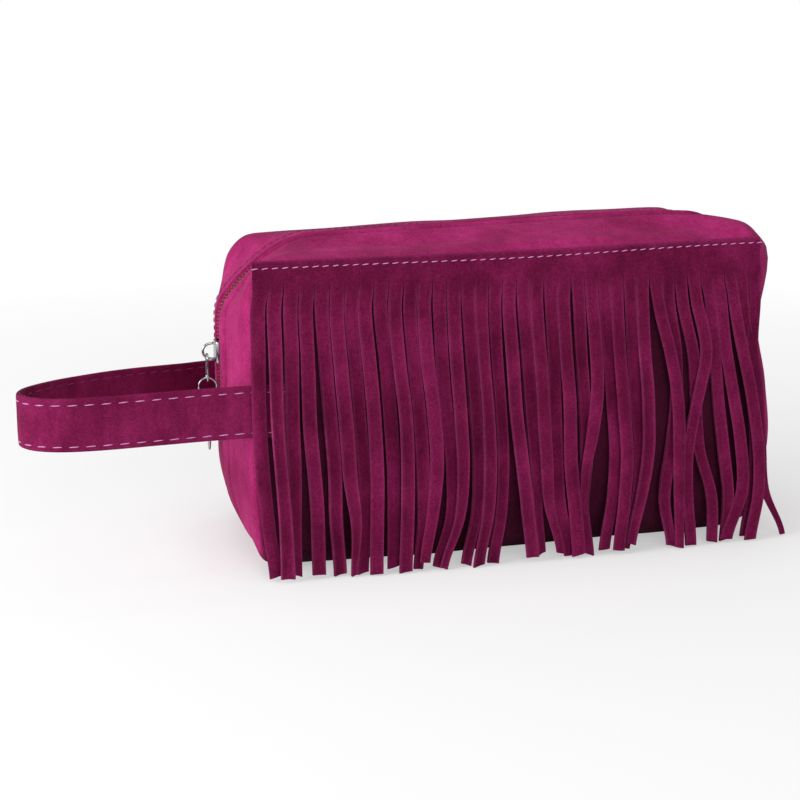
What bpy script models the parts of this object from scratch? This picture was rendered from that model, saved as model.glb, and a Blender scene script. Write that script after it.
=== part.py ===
"""Fringed zip pouch with a wrist strap, in metres with +Z up.

The origin is the centre of the flat base. The fringed front faces -Y, the
strap points towards -X and the zip runs over the top and down both ends.
"""
import math
import random

import bmesh
import bpy
from mathutils import Vector

MM = 0.001

# Sewn shell
LENGTH = 200 * MM
DEPTH = 80 * MM
HEIGHT = 122 * MM
WALL = 1.8 * MM
SEAM_ROUND = 3 * MM
BASE_ROUND = 14 * MM
TOP_RADIUS_FRONT = 4 * MM
TOP_RADIUS_BACK = 11 * MM
TOP_RADIUS_ZIP_LEFT = 32 * MM
TOP_RADIUS_ZIP_RIGHT = 20 * MM
BOTTOM_RADIUS_EDGE = 12 * MM
BOTTOM_RADIUS_MIDDLE = 16 * MM
FACE_BULGE = 6 * MM
END_BULGE_LEFT = 7 * MM
END_BULGE_RIGHT = 12 * MM
EDGE_SHARE = 0.2
SWELL_REACH = 0.4
SWELL_FOOT = 0.3
SWELL_HEAD = 0.8
RIGHT_SAG = 5 * MM
CROWN = 3.5 * MM
CROWN_TILT = 2.5 * MM
SIDE_NODES = 5
TOP_NODES = 9
BOTTOM_NODES = 4
TOP_CORNER_STEPS = 6
BOTTOM_CORNER_STEPS = 3
CAP_LEVELS = (0.3, 0.65, 0.88)
FLANK_SHARE = 0.7
SLOT_FIRST = 2

# Zip opening and its folded placket
SLOT_HALF = 5 * MM
PLACKET_EDGE = 11 * MM
PLACKET_STEP = 1.2 * MM
PLACKET_RAISE = 0.7 * MM
FRONT_LIP = 2.6 * MM
LIP_START = 16 * MM
LIP_FULL = 6 * MM
SEAT_GAP = 0.3 * MM

# Zip chain
TAPE_THICKNESS = 0.6 * MM
TAPE_INNER = 0.75 * MM
TAPE_OUTER = 8.4 * MM
TOOTH_PITCH = 1.5 * MM
TOOTH_INNER = 0.45 * MM
TOOTH_OUTER = 2.6 * MM
TOOTH_HEIGHT = 1.5 * MM
TOOTH_GROOVE = 0.55 * MM
TEETH_PER_PANEL = 2
CHAIN_MARGIN = 4 * MM
ROW_SPREAD = 0.3 * MM
STOP_START = 1.5 * MM
STOP_LENGTH = 2.1 * MM
STOP_WIDTH = 2.3 * MM

# Slider and pull
SLIDER_BELOW_BEND = 10 * MM
SLIDER_HEIGHT = HEIGHT - TOP_RADIUS_ZIP_LEFT - SLIDER_BELOW_BEND
SLIDER_LENGTH = 8.2 * MM
SLIDER_HALF = 3.95 * MM
SLIDER_NARROW = 0.92
SLIDER_TIP = 0.88
PLATE_THICKNESS = 1.0 * MM
PLATE_CHAMFER = 0.5 * MM
FLANGE_THICKNESS = 0.6 * MM
FLANGE_DEPTH = 1.3 * MM
LOWER_PLATE_HALF = 3.3 * MM
LOWER_PLATE_THICKNESS = 0.8 * MM
POST_HALF = 0.2 * MM
WIRE_GAP = 0.15 * MM
BAIL_WIRE = 0.5 * MM
BAIL_REACH = 4.5 * MM
BAIL_HALF = 3.1 * MM
LINK_WIRE = 0.45 * MM
LINK_OUT = 4.8 * MM
LINK_HALF = 1.9 * MM
LINK_LENGTH = 10.4 * MM
LINK_RISE = 0.8 * MM
RING_WIRE = 0.4 * MM
RING_RADIUS = 3.55 * MM
TAG_LENGTH = 26.5 * MM
TAG_HALF = 3.7 * MM
TAG_THICKNESS = 1.2 * MM
TAG_EYE = 1.3 * MM
TAG_NECK = 2.5 * MM
WIRE_SIDES = 8

# Fringe: one sheet, sewn along its top and cut into strips
SUEDE = 1.0 * MM
STRIP_TAPER = 0.05
STRIP_GAP = 0.4 * MM
STRIP_STEPS = 8
LEFT_CUT = 113.6 * MM
RIGHT_CUT = 110.5 * MM
BAND_ROWS = ((121.75, 1.25), (120.6, 0.35), (118.4, 0.0))
HANG_HEIGHT = 61 * MM
FRINGE_CLEAR = 0.6 * MM
LEAN_START = 0.22
LAYER_START = 0.2
LAYER_GAP = 2.2 * MM
STRIP_TWIST = math.radians(11)
# Sideways lean of each strip half way down and at its end, in millimetres
STRIP_LEANS = (
    (-1.2, 2.7), (-1.1, 1.6), (-1.1, -0.2), (0.2, 2.7), (1.6, 4.4), (2.1, 5.1), (3.2, 3.0),
    (2.2, 2.1), (2.6, 3.3), (3.8, 2.5), (3.0, 2.1), (3.6, -1.0), (3.7, -0.9), (3.0, -3.6),
    (3.0, -0.7), (3.0, -1.3), (3.3, -1.0), (4.7, 9.9), (2.7, 7.8), (2.5, 9.4), (2.0, 10.6),
    (2.5, 11.5), (3.0, 7.0), (3.0, 6.5), (3.4, 3.1), (3.5, 2.8), (3.3, -0.4), (2.9, -2.3),
    (8.9, 11.2), (7.4, 7.6), (3.4, 7.1), (2.0, 1.9), (3.2, 5.3), (2.7, 5.8), (3.5, 8.5),
    (3.5, 7.7), (1.8, 17.0),
)
# Millimetres that some strips end above the rest
SHORT_STRIPS = {18: 6, 22: 5, 23: 14, 26: 5, 27: 9, 28: 4, 31: 6, 33: 4}

# Wrist strap: centre line as millimetres from the shell's left end towards +X,
# share of the shell's half depth, and millimetres of height
STRAP_WIDTH = 20.5 * MM
STRAP_THICKNESS = 2.0 * MM
STRAP_BEVEL = 0.5 * MM
STRAP_STEPS = 2
STRAP_LINE = (
    (12, -1.0975, 65.8), (6, -1.0725, 65.8), (0, -1.0575, 65.8), (-7, -1.055, 65.8),
    (-20, -1.065, 65.8), (-40, -1.085, 65.6), (-58, -1.095, 65.4), (-71, -1.06, 65.3),
    (-80, -0.95, 65.2), (-84.6, -0.775, 65), (-84.2, -0.575, 64.4), (-80, -0.35, 63.6),
    (-71, -0.085, 62.6), (-60, 0.15, 61.6), (-49, 0.36, 60.6), (-38, 0.545, 59.5),
    (-27, 0.715, 58.3), (-16, 0.87, 57.2), (-7.5, 0.99, 56.5), (0, 1.05, 56.1),
    (6, 1.0725, 56), (14, 1.1025, 56), (22, 1.1225, 56),
)
STRAP_LIFT = 2.6 * MM
STRAP_END = 14 * MM
STRAP_COVER = 7 * MM
STRAP_LIFT_LOW = 36 * MM
STRAP_LIFT_HIGH = 16 * MM

SUEDE_BRIGHT = (0.36, 0.018, 0.135)
SUEDE_DEEP = (0.205, 0.01, 0.082)
TAPE_RED = (0.2, 0.012, 0.045)
COIL_RED = (0.27, 0.055, 0.045)
NICKEL = (0.72, 0.72, 0.74)


def clear_scene():
    for item in list(bpy.data.objects):
        bpy.data.objects.remove(item, do_unlink=True)


def material(name, colour, roughness, metallic=0.0):
    made = bpy.data.materials.new(name)
    made.use_nodes = True
    shader = made.node_tree.nodes["Principled BSDF"]
    shader.inputs["Base Color"].default_value = (*colour, 1.0)
    shader.inputs["Roughness"].default_value = roughness
    shader.inputs["Metallic"].default_value = metallic
    return made


def add_mesh(name, points, faces, surface, smooth=True, origin=(0, 0, 0)):
    """Make a named object from points in world metres."""
    shift = Vector(origin)
    mesh = bpy.data.meshes.new(name)
    mesh.from_pydata([Vector(point) - shift for point in points], [], faces)
    mesh.validate()
    if smooth:
        mesh.shade_smooth()
    else:
        mesh.shade_flat()
    mesh.materials.append(surface)
    made = bpy.data.objects.new(name, mesh)
    made.location = shift
    bpy.context.scene.collection.objects.link(made)
    return made


def clamp(value, low=0.0, high=1.0):
    return min(max(value, low), high)


def smooth_step(value, low, high):
    part = clamp((value - low) / (high - low))
    return part * part * (3 - 2 * part)


def blend(low, high, part):
    return low + (high - low) * part


def ring_faces(rings, size, closed=False):
    """Quads between neighbouring rings of the same size."""
    faces = []
    for ring in range(rings if closed else rings - 1):
        here = ring * size
        there = ((ring + 1) % rings) * size
        for step in range(size):
            following = (step + 1) % size
            faces.append((here + step, here + following, there + following, there + step))
    return faces


def end_caps(rings, size):
    last = (rings - 1) * size
    return [tuple(reversed(range(size))), tuple(range(last, last + size))]


# Shape of the shell

def depth_share(y):
    """One in the zip's plane and nought at the front and back faces."""
    return clamp(1 - (y / (DEPTH / 2)) ** 2)


def corner_radii(y, inset):
    """Radii of the section at y: top left, top right, bottom."""
    share = depth_share(y)
    rear = (y / (DEPTH / 2) + 1) / 2
    edge = blend(TOP_RADIUS_FRONT, TOP_RADIUS_BACK, rear)
    left = blend(edge, TOP_RADIUS_ZIP_LEFT, share) - inset / 2
    right = blend(edge, TOP_RADIUS_ZIP_RIGHT, share) - inset / 2
    bottom = blend(BOTTOM_RADIUS_EDGE, BOTTOM_RADIUS_MIDDLE, share) - inset / 2
    return left, right, bottom


def corner(centre_x, centre_z, radius, start, steps):
    nodes = []
    for step in range(steps + 1):
        angle = start - math.pi / 2 * step / steps
        across, up = math.cos(angle), math.sin(angle)
        nodes.append((centre_x + radius * across, centre_z + radius * up, across, up))
    return nodes


def side(first, last, count):
    """Nodes strictly between two corner nodes."""
    nodes = []
    for step in range(1, count + 1):
        part = step / (count + 1)
        nodes.append((blend(first[0], last[0], part), blend(first[1], last[1], part),
                      first[2], first[3]))
    return nodes


def section(y, inset):
    """Rounded outline in the XZ plane, from the bottom left upwards and round."""
    left, right, bottom = corner_radii(y, inset)
    half = LENGTH / 2 - inset
    low = inset
    high = HEIGHT - inset
    corners = (
        corner(left - half, high - left, left, math.pi, TOP_CORNER_STEPS),
        corner(half - right, high - right, right, math.pi / 2, TOP_CORNER_STEPS),
        corner(half - bottom, low + bottom, bottom, 0, BOTTOM_CORNER_STEPS),
        corner(bottom - half, low + bottom, bottom, -math.pi / 2, BOTTOM_CORNER_STEPS),
    )
    nodes = side(corners[3][-1], corners[0][0], SIDE_NODES)
    counts = (TOP_NODES, SIDE_NODES, BOTTOM_NODES)
    for index, count in enumerate(counts):
        nodes += corners[index]
        nodes += side(corners[index][-1], corners[index + 1][0], count)
    return nodes + corners[3]


def face_bulge(x, z):
    across = clamp(abs(x) / (LENGTH / 2)) ** 4
    up = clamp(abs(2 * z / HEIGHT - 1)) ** 2
    return FACE_BULGE * (1 - across) * (1 - up)


def end_swell(x, y, z):
    """Outward move of an end panel."""
    height = z / HEIGHT
    level = smooth_step(height, 0, SWELL_FOOT) * (1 - smooth_step(height, SWELL_HEAD, 1.0))
    near_end = clamp(1 - (1 - abs(x) / (LENGTH / 2)) / SWELL_REACH) ** 2
    share = blend(EDGE_SHARE, 1, depth_share(y)) * level * near_end
    if x < 0:
        return -END_BULGE_LEFT * share
    sag = RIGHT_SAG * smooth_step(height, 0.02, 0.2) * (1 - smooth_step(height, 0.25, 1.0))
    return END_BULGE_RIGHT * share + sag * near_end


def crown(x, y, z):
    along = 1 - clamp(abs(x) / (LENGTH / 2)) ** 8
    high = clamp(2 * z / HEIGHT - 1) ** 2
    lift = CROWN + CROWN_TILT * x / (LENGTH / 2)
    return lift * depth_share(y) ** 0.8 * along * high


def base_pull(z):
    """Share of the depth kept near the rounded foot of the front and back."""
    low = clamp((BASE_ROUND - z) / BASE_ROUND)
    return 1 - BASE_ROUND / (DEPTH / 2) * (1 - math.sqrt(1 - low * low))


def fill_out(x, y, z, cap=False):
    """Turn the plain boxy form into the stuffed one."""
    moved_x = x + end_swell(x, y, z)
    moved_z = z + crown(x, y, z)
    moved_y = y
    if cap:
        moved_y += math.copysign(face_bulge(x, z), y)
    return Vector((moved_x, moved_y * base_pull(z), moved_z))


def front_lip(y, z):
    """Extra height of the front placket's crest, which hides the chain from the front."""
    inner = smooth_step(-y, SLOT_HALF, PLACKET_EDGE)
    outer = 1 - smooth_step(-y, PLACKET_EDGE + PLACKET_STEP, FLANK_SHARE * DEPTH / 2)
    return FRONT_LIP * inner * outer * smooth_step(z, HEIGHT - LIP_START, HEIGHT - LIP_FULL)


def slot_last():
    return SIDE_NODES + TOP_CORNER_STEPS * 2 + 2 + TOP_NODES + SIDE_NODES - SLOT_FIRST - 1


def skin_ring(y, inset=0.0, scale=1.0, raised=0.0, cap=False):
    """Points of the shell's outer skin at one station."""
    points = []
    for index, (x, z, out_x, out_z) in enumerate(section(y, inset)):
        x *= scale
        z = HEIGHT / 2 + (z - HEIGHT / 2) * scale
        point = fill_out(x, y, z, cap)
        if SLOT_FIRST <= index <= slot_last():
            point += Vector((out_x, 0, out_z)) * (raised + front_lip(y, z))
        points.append(point)
    return points


def shell_stations():
    """Keyword sets for the skin rings, from the front middle to the back middle."""
    half = DEPTH / 2
    outer = [dict(y=half, inset=SEAM_ROUND, scale=level, cap=True) for level in CAP_LEVELS]
    for turn in (0, 1, 2):
        angle = math.pi / 2 * (1 - turn / 2)
        outer.append(dict(y=half - SEAM_ROUND * (1 - math.sin(angle)),
                          inset=SEAM_ROUND * (1 - math.cos(angle)), cap=turn == 0))
    outer.append(dict(y=half * FLANK_SHARE))
    outer.append(dict(y=PLACKET_EDGE + PLACKET_STEP))
    outer.append(dict(y=PLACKET_EDGE, raised=PLACKET_RAISE))
    outer.append(dict(y=SLOT_HALF, raised=PLACKET_RAISE))
    front = [dict(station, y=-station["y"]) for station in outer]
    return front + [dict(y=0.0, raised=PLACKET_RAISE)] + outer[::-1]


def build_shell(surface):
    stations = shell_stations()
    rings = [skin_ring(**station) for station in stations]
    size = len(rings[0])
    points = [point for ring in rings for point in ring]
    middle = len(stations) // 2
    faces = []
    for face in ring_faces(len(rings), size):
        station, node = divmod(face[0], size)
        in_slot = SLOT_FIRST <= node < slot_last() and station in (middle - 1, middle)
        if not in_slot:
            faces.append(face)
    for station, sign in ((0, -1), (len(rings) - 1, 1)):
        start = station * size
        hub = len(points)
        points.append(fill_out(0, sign * DEPTH / 2, HEIGHT / 2, cap=True))
        for node in range(size):
            pair = (start + node, start + (node + 1) % size)
            faces.append((hub, *pair[::sign]))
    kept = sorted({index for face in faces for index in face})
    place = {index: number for number, index in enumerate(kept)}
    faces = [tuple(place[index] for index in reversed(face)) for face in faces]
    made = add_mesh("shell", [points[index] for index in kept], faces, surface)
    wall = made.modifiers.new("wall", "SOLIDIFY")
    wall.thickness = WALL
    wall.offset = -1
    wall.use_even_offset = True
    return made


# Zip chain

def outward(first, second):
    """Unit direction away from the bag for a stretch of the section."""
    along = (second - first).normalized()
    return Vector((-along.z, 0, along.x))


def track_nodes(y=0.0):
    """Points and mitred outward directions of the skin along the zip opening."""
    ring = skin_ring(y)
    nodes = []
    for index in range(SLOT_FIRST, slot_last() + 1):
        before = outward(ring[index - 1], ring[index])
        after = outward(ring[index], ring[index + 1])
        nodes.append((ring[index], (before + after) / (1 + before.dot(after))))
    return nodes


def tape_depth():
    """Depth of the tape's outer face below the unraised skin."""
    return WALL + SEAT_GAP - PLACKET_RAISE


def build_tape(name, sign, surface):
    inner = track_nodes(TAPE_INNER)
    outer = track_nodes(TAPE_OUTER)
    top = tape_depth()
    points = []
    for (near, near_out), (far, far_out) in zip(inner, outer):
        for base, out, depth in ((near, near_out, top), (far, far_out, top),
                                 (far, far_out, top + TAPE_THICKNESS),
                                 (near, near_out, top + TAPE_THICKNESS)):
            moved = base - out * depth
            points.append(Vector((moved.x, moved.y * sign, moved.z)))
    faces = ring_faces(len(inner), 4) + end_caps(len(inner), 4)
    if sign > 0:
        faces = [tuple(reversed(face)) for face in faces]
    return add_mesh(name, points, faces, surface, smooth=False)


class Track:
    """Middle line of the zip, read by distance from its left end."""

    def __init__(self):
        self.nodes = track_nodes()
        self.marks = [0.0]
        for (first, _), (second, _) in zip(self.nodes, self.nodes[1:]):
            self.marks.append(self.marks[-1] + (second - first).length)
        self.length = self.marks[-1]

    def at(self, distance, y, depth):
        index = 0
        while index < len(self.marks) - 2 and self.marks[index + 1] < distance:
            index += 1
        part = (distance - self.marks[index]) / (self.marks[index + 1] - self.marks[index])
        point = self.nodes[index][0].lerp(self.nodes[index + 1][0], part)
        out = self.nodes[index][1].lerp(self.nodes[index + 1][1], part)
        moved = point - out * depth
        return Vector((moved.x, y, moved.z))


def row_spread(distance, track):
    """Extra half gap between the rows below the slider."""
    height = distance + track.nodes[0][0].z
    foot = SLIDER_HEIGHT - SLIDER_LENGTH / 2
    start = track.nodes[0][0].z + CHAIN_MARGIN
    if height >= foot:
        return 0.0
    return ROW_SPREAD * math.sin(math.pi * clamp((height - start) / (foot - start)))


def build_teeth(name, sign, track, surface):
    """One ribbed row: side panels are single faces, the ribs stand on top."""
    base_depth = tape_depth() - SEAT_GAP
    top_depth = base_depth - TOOTH_HEIGHT
    count = int((track.length - 2 * CHAIN_MARGIN) / TOOTH_PITCH)
    stations = count * 2
    points = []
    tops = {}
    feet = {}
    for station in range(stations + 1):
        distance = CHAIN_MARGIN + station * TOOTH_PITCH / 2
        spread = row_spread(distance, track)
        depth = top_depth + (TOOTH_GROOVE if station % 2 == 0 else 0.0)
        for edge, y in enumerate((TOOTH_INNER, TOOTH_OUTER)):
            tops[station, edge] = len(points)
            points.append(track.at(distance, sign * (y + spread), depth))
            if station % (2 * TEETH_PER_PANEL) == 0 or station == stations:
                feet[station, edge] = len(points)
                points.append(track.at(distance, sign * (y + spread), base_depth))
    faces = []
    for station in range(stations):
        faces.append((tops[station, 0], tops[station, 1],
                      tops[station + 1, 1], tops[station + 1, 0]))
    marks = sorted({station for station, _ in feet})
    for first, last in zip(marks, marks[1:]):
        run = range(first, last + 1)
        near = [tops[station, 0] for station in run]
        far = [tops[station, 1] for station in reversed(run)]
        faces.append((feet[first, 0], *near, feet[last, 0]))
        faces.append((feet[last, 1], *far, feet[first, 1]))
        faces.append((feet[first, 0], feet[last, 0], feet[last, 1], feet[first, 1]))
    faces.append((tops[0, 1], tops[0, 0], feet[0, 0], feet[0, 1]))
    faces.append((tops[stations, 0], tops[stations, 1], feet[stations, 1], feet[stations, 0]))
    if sign > 0:
        faces = [tuple(reversed(face)) for face in faces]
    return add_mesh(name, points, faces, surface, smooth=False)


def build_stop(name, track, start, low_y, high_y, surface):
    """Small metal stop block on the tapes."""
    base_depth = tape_depth() - SEAT_GAP
    points = []
    for distance in (start, start + STOP_LENGTH):
        for y, depth in ((low_y, base_depth), (low_y, base_depth - TOOTH_HEIGHT),
                         (high_y, base_depth - TOOTH_HEIGHT), (high_y, base_depth)):
            points.append(track.at(distance, y, depth))
    faces = ring_faces(2, 4) + end_caps(2, 4)
    return add_mesh(name, points, [tuple(reversed(face)) for face in faces], surface, smooth=False)


# Slider and pull

def track_x():
    return -(LENGTH / 2 + END_BULGE_LEFT)


def coil_top():
    """Height of the coil above the unraised skin."""
    return TOOTH_HEIGHT - tape_depth() + SEAT_GAP


def plate_top():
    return coil_top() + SEAT_GAP + PLATE_THICKNESS


def slider_profile():
    """Outline of the slider across its length, as y and outward height."""
    plate_low = coil_top() + SEAT_GAP
    flange_low = plate_low - FLANGE_DEPTH
    lower_top = -(tape_depth() + TAPE_THICKNESS + SEAT_GAP)
    lower_low = lower_top - LOWER_PLATE_THICKNESS
    flange_inner = SLIDER_HALF - FLANGE_THICKNESS
    half = [
        (POST_HALF, lower_top), (POST_HALF, plate_low), (flange_inner, plate_low),
        (flange_inner, flange_low), (SLIDER_HALF, flange_low),
        (SLIDER_HALF, plate_top() - PLATE_CHAMFER), (SLIDER_HALF - PLATE_CHAMFER, plate_top()),
    ]
    lower = [(LOWER_PLATE_HALF, lower_top), (LOWER_PLATE_HALF, lower_low)]
    right = lower[::-1] + half
    left = [(-y, out) for y, out in right[::-1]]
    return right + left


def build_slider(surface):
    profile = slider_profile()
    foot = SLIDER_HEIGHT - SLIDER_LENGTH / 2
    stations = ((0.0, 1.0), (0.5, 1.0), (0.9, SLIDER_NARROW), (1.0, SLIDER_TIP))
    points = []
    for part, width in stations:
        for y, out in profile:
            points.append((track_x() - out, y * width, foot + SLIDER_LENGTH * part))
    faces = ring_faces(len(stations), len(profile)) + end_caps(len(stations), len(profile))
    faces = [tuple(reversed(face)) for face in faces]
    return add_mesh("slider", points, faces, surface, smooth=False,
                    origin=(track_x(), 0, SLIDER_HEIGHT))


def tube(path, radius, closed):
    """Round wire along a path; returns points and faces."""
    count = len(path)
    points = []
    flat = (path[1] - path[0]).cross(path[2] - path[1]).normalized()
    for index, centre in enumerate(path):
        before = path[index - 1] if closed or index else path[0]
        after = path[(index + 1) % count] if closed or index < count - 1 else path[-1]
        along = (after - before).normalized()
        across = along.cross(flat)
        for step in range(WIRE_SIDES):
            angle = 2 * math.pi * step / WIRE_SIDES
            points.append(centre + (across * math.cos(angle) + flat * math.sin(angle)) * radius)
    faces = ring_faces(count, WIRE_SIDES, closed)
    if not closed:
        faces += end_caps(count, WIRE_SIDES)
    return points, [tuple(reversed(face)) for face in faces]


def bail_foot_z():
    return SLIDER_HEIGHT - BAIL_HALF


def build_bail(surface):
    """Wire arch standing on the slider's outer plate."""
    path = []
    foot_out = plate_top() + WIRE_GAP
    for step in range(13):
        angle = math.pi * step / 12
        reach = math.sin(angle) ** 0.7
        out = foot_out + BAIL_REACH * reach
        path.append(Vector((track_x() - out, 0, SLIDER_HEIGHT + BAIL_HALF * math.cos(angle))))
    points, faces = tube(path, BAIL_WIRE, closed=False)
    return add_mesh("slider_bail", points, faces, surface, origin=(track_x(), 0, SLIDER_HEIGHT))


def link_top():
    """Axis of the link's upper bar, hanging inside the bail."""
    rise = BAIL_WIRE + LINK_WIRE + WIRE_GAP + LINK_RISE
    return Vector((track_x() - LINK_OUT, 0, bail_foot_z() + rise))


def link_foot():
    return link_top() - Vector((0, 0, LINK_LENGTH))


def build_link(surface):
    """Oblong wire loop in the YZ plane."""
    top, foot = link_top(), link_foot()
    path = []
    for centre, start in ((top - Vector((0, 0, LINK_HALF)), 0),
                          (foot + Vector((0, 0, LINK_HALF)), math.pi)):
        for step in range(9):
            angle = start + math.pi * step / 8
            path.append(centre + Vector((0, math.cos(angle), math.sin(angle))) * LINK_HALF)
    points, faces = tube(path, LINK_WIRE, closed=True)
    return add_mesh("pull_link", points, faces, surface, origin=top)


def ring_centre():
    drop = RING_RADIUS - LINK_WIRE - RING_WIRE - WIRE_GAP
    return link_foot() - Vector((0, 0, drop))


def build_ring(surface):
    """Jump ring in the XZ plane."""
    path = []
    for step in range(24):
        angle = 2 * math.pi * step / 24
        path.append(ring_centre() + Vector((math.cos(angle), 0, math.sin(angle))) * RING_RADIUS)
    points, faces = tube(path, RING_WIRE, closed=True)
    return add_mesh("pull_ring", points, faces, surface, origin=link_foot())


def ring_foot():
    return ring_centre() - Vector((0, 0, RING_RADIUS))


def tag_outline(scale=1.0):
    """Slim drop with a small round head, as y and z below the eye's centre."""
    outline = []
    for step in range(24):
        angle = math.pi / 2 + 2 * math.pi * step / 24
        across, up = math.cos(angle), math.sin(angle)
        if up >= 0:
            y, z = TAG_NECK * across, TAG_NECK * up
        else:
            reach = -up
            swell = TAG_NECK + (TAG_HALF - TAG_NECK) * math.sin(math.pi * reach ** 1.1) * 1.6
            y, z = swell * across, -(TAG_LENGTH - 2 * TAG_NECK) * reach ** 1.35
        outline.append((y * scale, z * scale))
    return outline


def build_tag(surface):
    """Flat drop-shaped tag in the YZ plane, hung by its eye from the ring."""
    eye_top = ring_foot().z + RING_WIRE + WIRE_GAP
    eye = Vector((ring_foot().x, 0, eye_top - TAG_EYE))
    hole = []
    for step in range(24):
        angle = math.pi / 2 + 2 * math.pi * step / 24
        hole.append((TAG_EYE * math.cos(angle), TAG_EYE * math.sin(angle)))
    full = tag_outline()
    trimmed = [(y * 0.9, blend(hole_z, z, 0.97)) for (y, z), (_, hole_z) in zip(full, hole)]
    half = TAG_THICKNESS / 2
    loops = ((hole, half), (hole, -half), (trimmed, -half), (full, -half * 0.4),
             (full, half * 0.4), (trimmed, half))
    points = []
    for loop, out in loops:
        points += [eye + Vector((out, y, z)) for y, z in loop]
    faces = ring_faces(len(loops), len(hole), closed=True)
    return add_mesh("pull_tag", points, faces, surface, smooth=False, origin=ring_foot())


# Fringe

def strap_lift(x, z):
    """Extra stand-off of the strips that hang over the strap's end."""
    end_x = STRAP_END - LENGTH / 2
    near = 1 - smooth_step(x, end_x, end_x + STRAP_COVER)
    below = 1 - smooth_step(z, HEIGHT - STRAP_LIFT_LOW, HEIGHT - STRAP_LIFT_HIGH)
    return STRAP_LIFT * near * below


def fringe_front(x, z):
    """Y of the inner face of the hanging suede."""
    level = max(z, HANG_HEIGHT)
    swell = max(end_swell(x, DEPTH / 2, height) for height in (z, level))
    clear = FRINGE_CLEAR + strap_lift(x, z)
    return -(DEPTH / 2 + face_bulge(x - max(swell, 0), level) + clear)


def strip_plan():
    """Edges, cut height, end height, lean, layer and twist for every strip."""
    rng = random.Random(11)
    count = len(STRIP_LEANS)
    plan = []
    left = -LENGTH / 2
    for index, (middle_lean, end_lean) in enumerate(STRIP_LEANS):
        part = index / (count - 1)
        right = left + LENGTH / count * (1 + STRIP_TAPER * (1 - 2 * part))
        plan.append(dict(left=left + (STRIP_GAP / 2 if index else 0),
                         right=right - STRIP_GAP / 2,
                         middle_lean=middle_lean * MM, end_lean=end_lean * MM,
                         layer=index % 2,
                         cut=blend(LEFT_CUT, RIGHT_CUT, part) + rng.uniform(-1, 1) * MM,
                         end=(rng.uniform(0.6, 2.4) + SHORT_STRIPS.get(index, 0)) * MM,
                         twist=STRIP_TWIST * rng.uniform(-1, 1)))
        left = right
    return plan


def strip_lean(strip, part):
    """Sideways move at a share of the way down, through both listed leans."""
    curve = 4 * strip["middle_lean"] - strip["end_lean"]
    lean = strip["end_lean"] * part ** 2 + curve * part * (1 - part)
    return lean * smooth_step(part, 0, LEAN_START)


def strip_corners(strip, part):
    """Four corners of a strip's section: part runs from the cut to the free end."""
    z = blend(strip["cut"], strip["end"], part)
    half = (strip["right"] - strip["left"]) / 2
    middle = (strip["right"] + strip["left"]) / 2
    away = strip_lean(strip, part)
    out = SUEDE / 2 + strip["layer"] * LAYER_GAP * smooth_step(part, 0, LAYER_START)
    turn = strip["twist"] * smooth_step(part, 0.15, 0.9)
    swing = half * abs(math.sin(turn))
    base = min(fringe_front(middle, z), fringe_front(middle + away, z))
    corners = []
    for across, through in ((-half, 0.5), (half, 0.5), (half, -0.5), (-half, -0.5)):
        dx = across * math.cos(turn) - through * SUEDE * math.sin(turn)
        dy = across * math.sin(turn) + through * SUEDE * math.cos(turn)
        if part == 0:
            y = fringe_front(middle + across, z) - SUEDE / 2 + through * SUEDE
            corners.append(Vector((middle + across, y, z)))
        else:
            corners.append(Vector((middle + away + dx, base - out - swing + dy, z)))
    return corners


def build_fringe(surface):
    """Sewn band with the strips cut from its lower part, all one sheet."""
    plan = strip_plan()
    points = []
    faces = []

    def add(point):
        points.append(point)
        return len(points) - 1

    columns = []
    for strip in plan:
        foot = [add(corner_point) for corner_point in strip_corners(strip, 0)]
        for side_index, (inner, outer) in enumerate(((foot[0], foot[3]), (foot[1], foot[2]))):
            x = points[inner].x
            rows = [(inner, outer)]
            for height, inset in reversed(BAND_ROWS):
                face_y = -(DEPTH / 2 - inset * MM + FRINGE_CLEAR / 2)
                if inset == 0:
                    face_y = fringe_front(x, height * MM)
                rows.append((add(Vector((x, face_y, height * MM))),
                             add(Vector((x, face_y - SUEDE, height * MM)))))
            columns.append(rows)
        previous = foot
        for step in range(1, STRIP_STEPS + 1):
            ring = [add(point) for point in strip_corners(strip, step / STRIP_STEPS)]
            for edge in range(4):
                following = (edge + 1) % 4
                faces.append((previous[edge], ring[edge], ring[following], previous[following]))
            previous = ring
        faces.append(tuple(previous))
    height = len(columns[0])
    for number, (first, second) in enumerate(zip(columns, columns[1:])):
        for row in range(height - 1):
            faces.append((first[row][0], second[row][0], second[row + 1][0], first[row + 1][0]))
            faces.append((second[row][1], first[row][1], first[row + 1][1], second[row + 1][1]))
        faces.append((first[-1][1], first[-1][0], second[-1][0], second[-1][1]))
        if number % 2 == 1:
            faces.append((first[0][0], first[0][1], second[0][1], second[0][0]))
    for rows, order in ((columns[0], 1), (columns[-1], -1)):
        for row in range(height - 1):
            face = (rows[row][1], rows[row][0], rows[row + 1][0], rows[row + 1][1])
            faces.append(face[::order])
    return add_mesh("fringe", points, faces, surface, smooth=False)


# Wrist strap

def spline(line, steps):
    """Smooth curve through the listed points."""
    knots = [Vector((x * MM - LENGTH / 2, share * DEPTH / 2, z * MM)) for x, share, z in line]
    curve = []
    for index in range(len(knots) - 1):
        first, second = knots[index], knots[index + 1]
        before = knots[max(index - 1, 0)]
        after = knots[min(index + 2, len(knots) - 1)]
        for step in range(steps):
            t = step / steps
            curve.append(0.5 * (2 * first + (second - before) * t
                                + (2 * before - 5 * first + 4 * second - after) * t ** 2
                                + (3 * first - before - 3 * second + after) * t ** 3))
    return curve + [knots[-1]]


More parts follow.
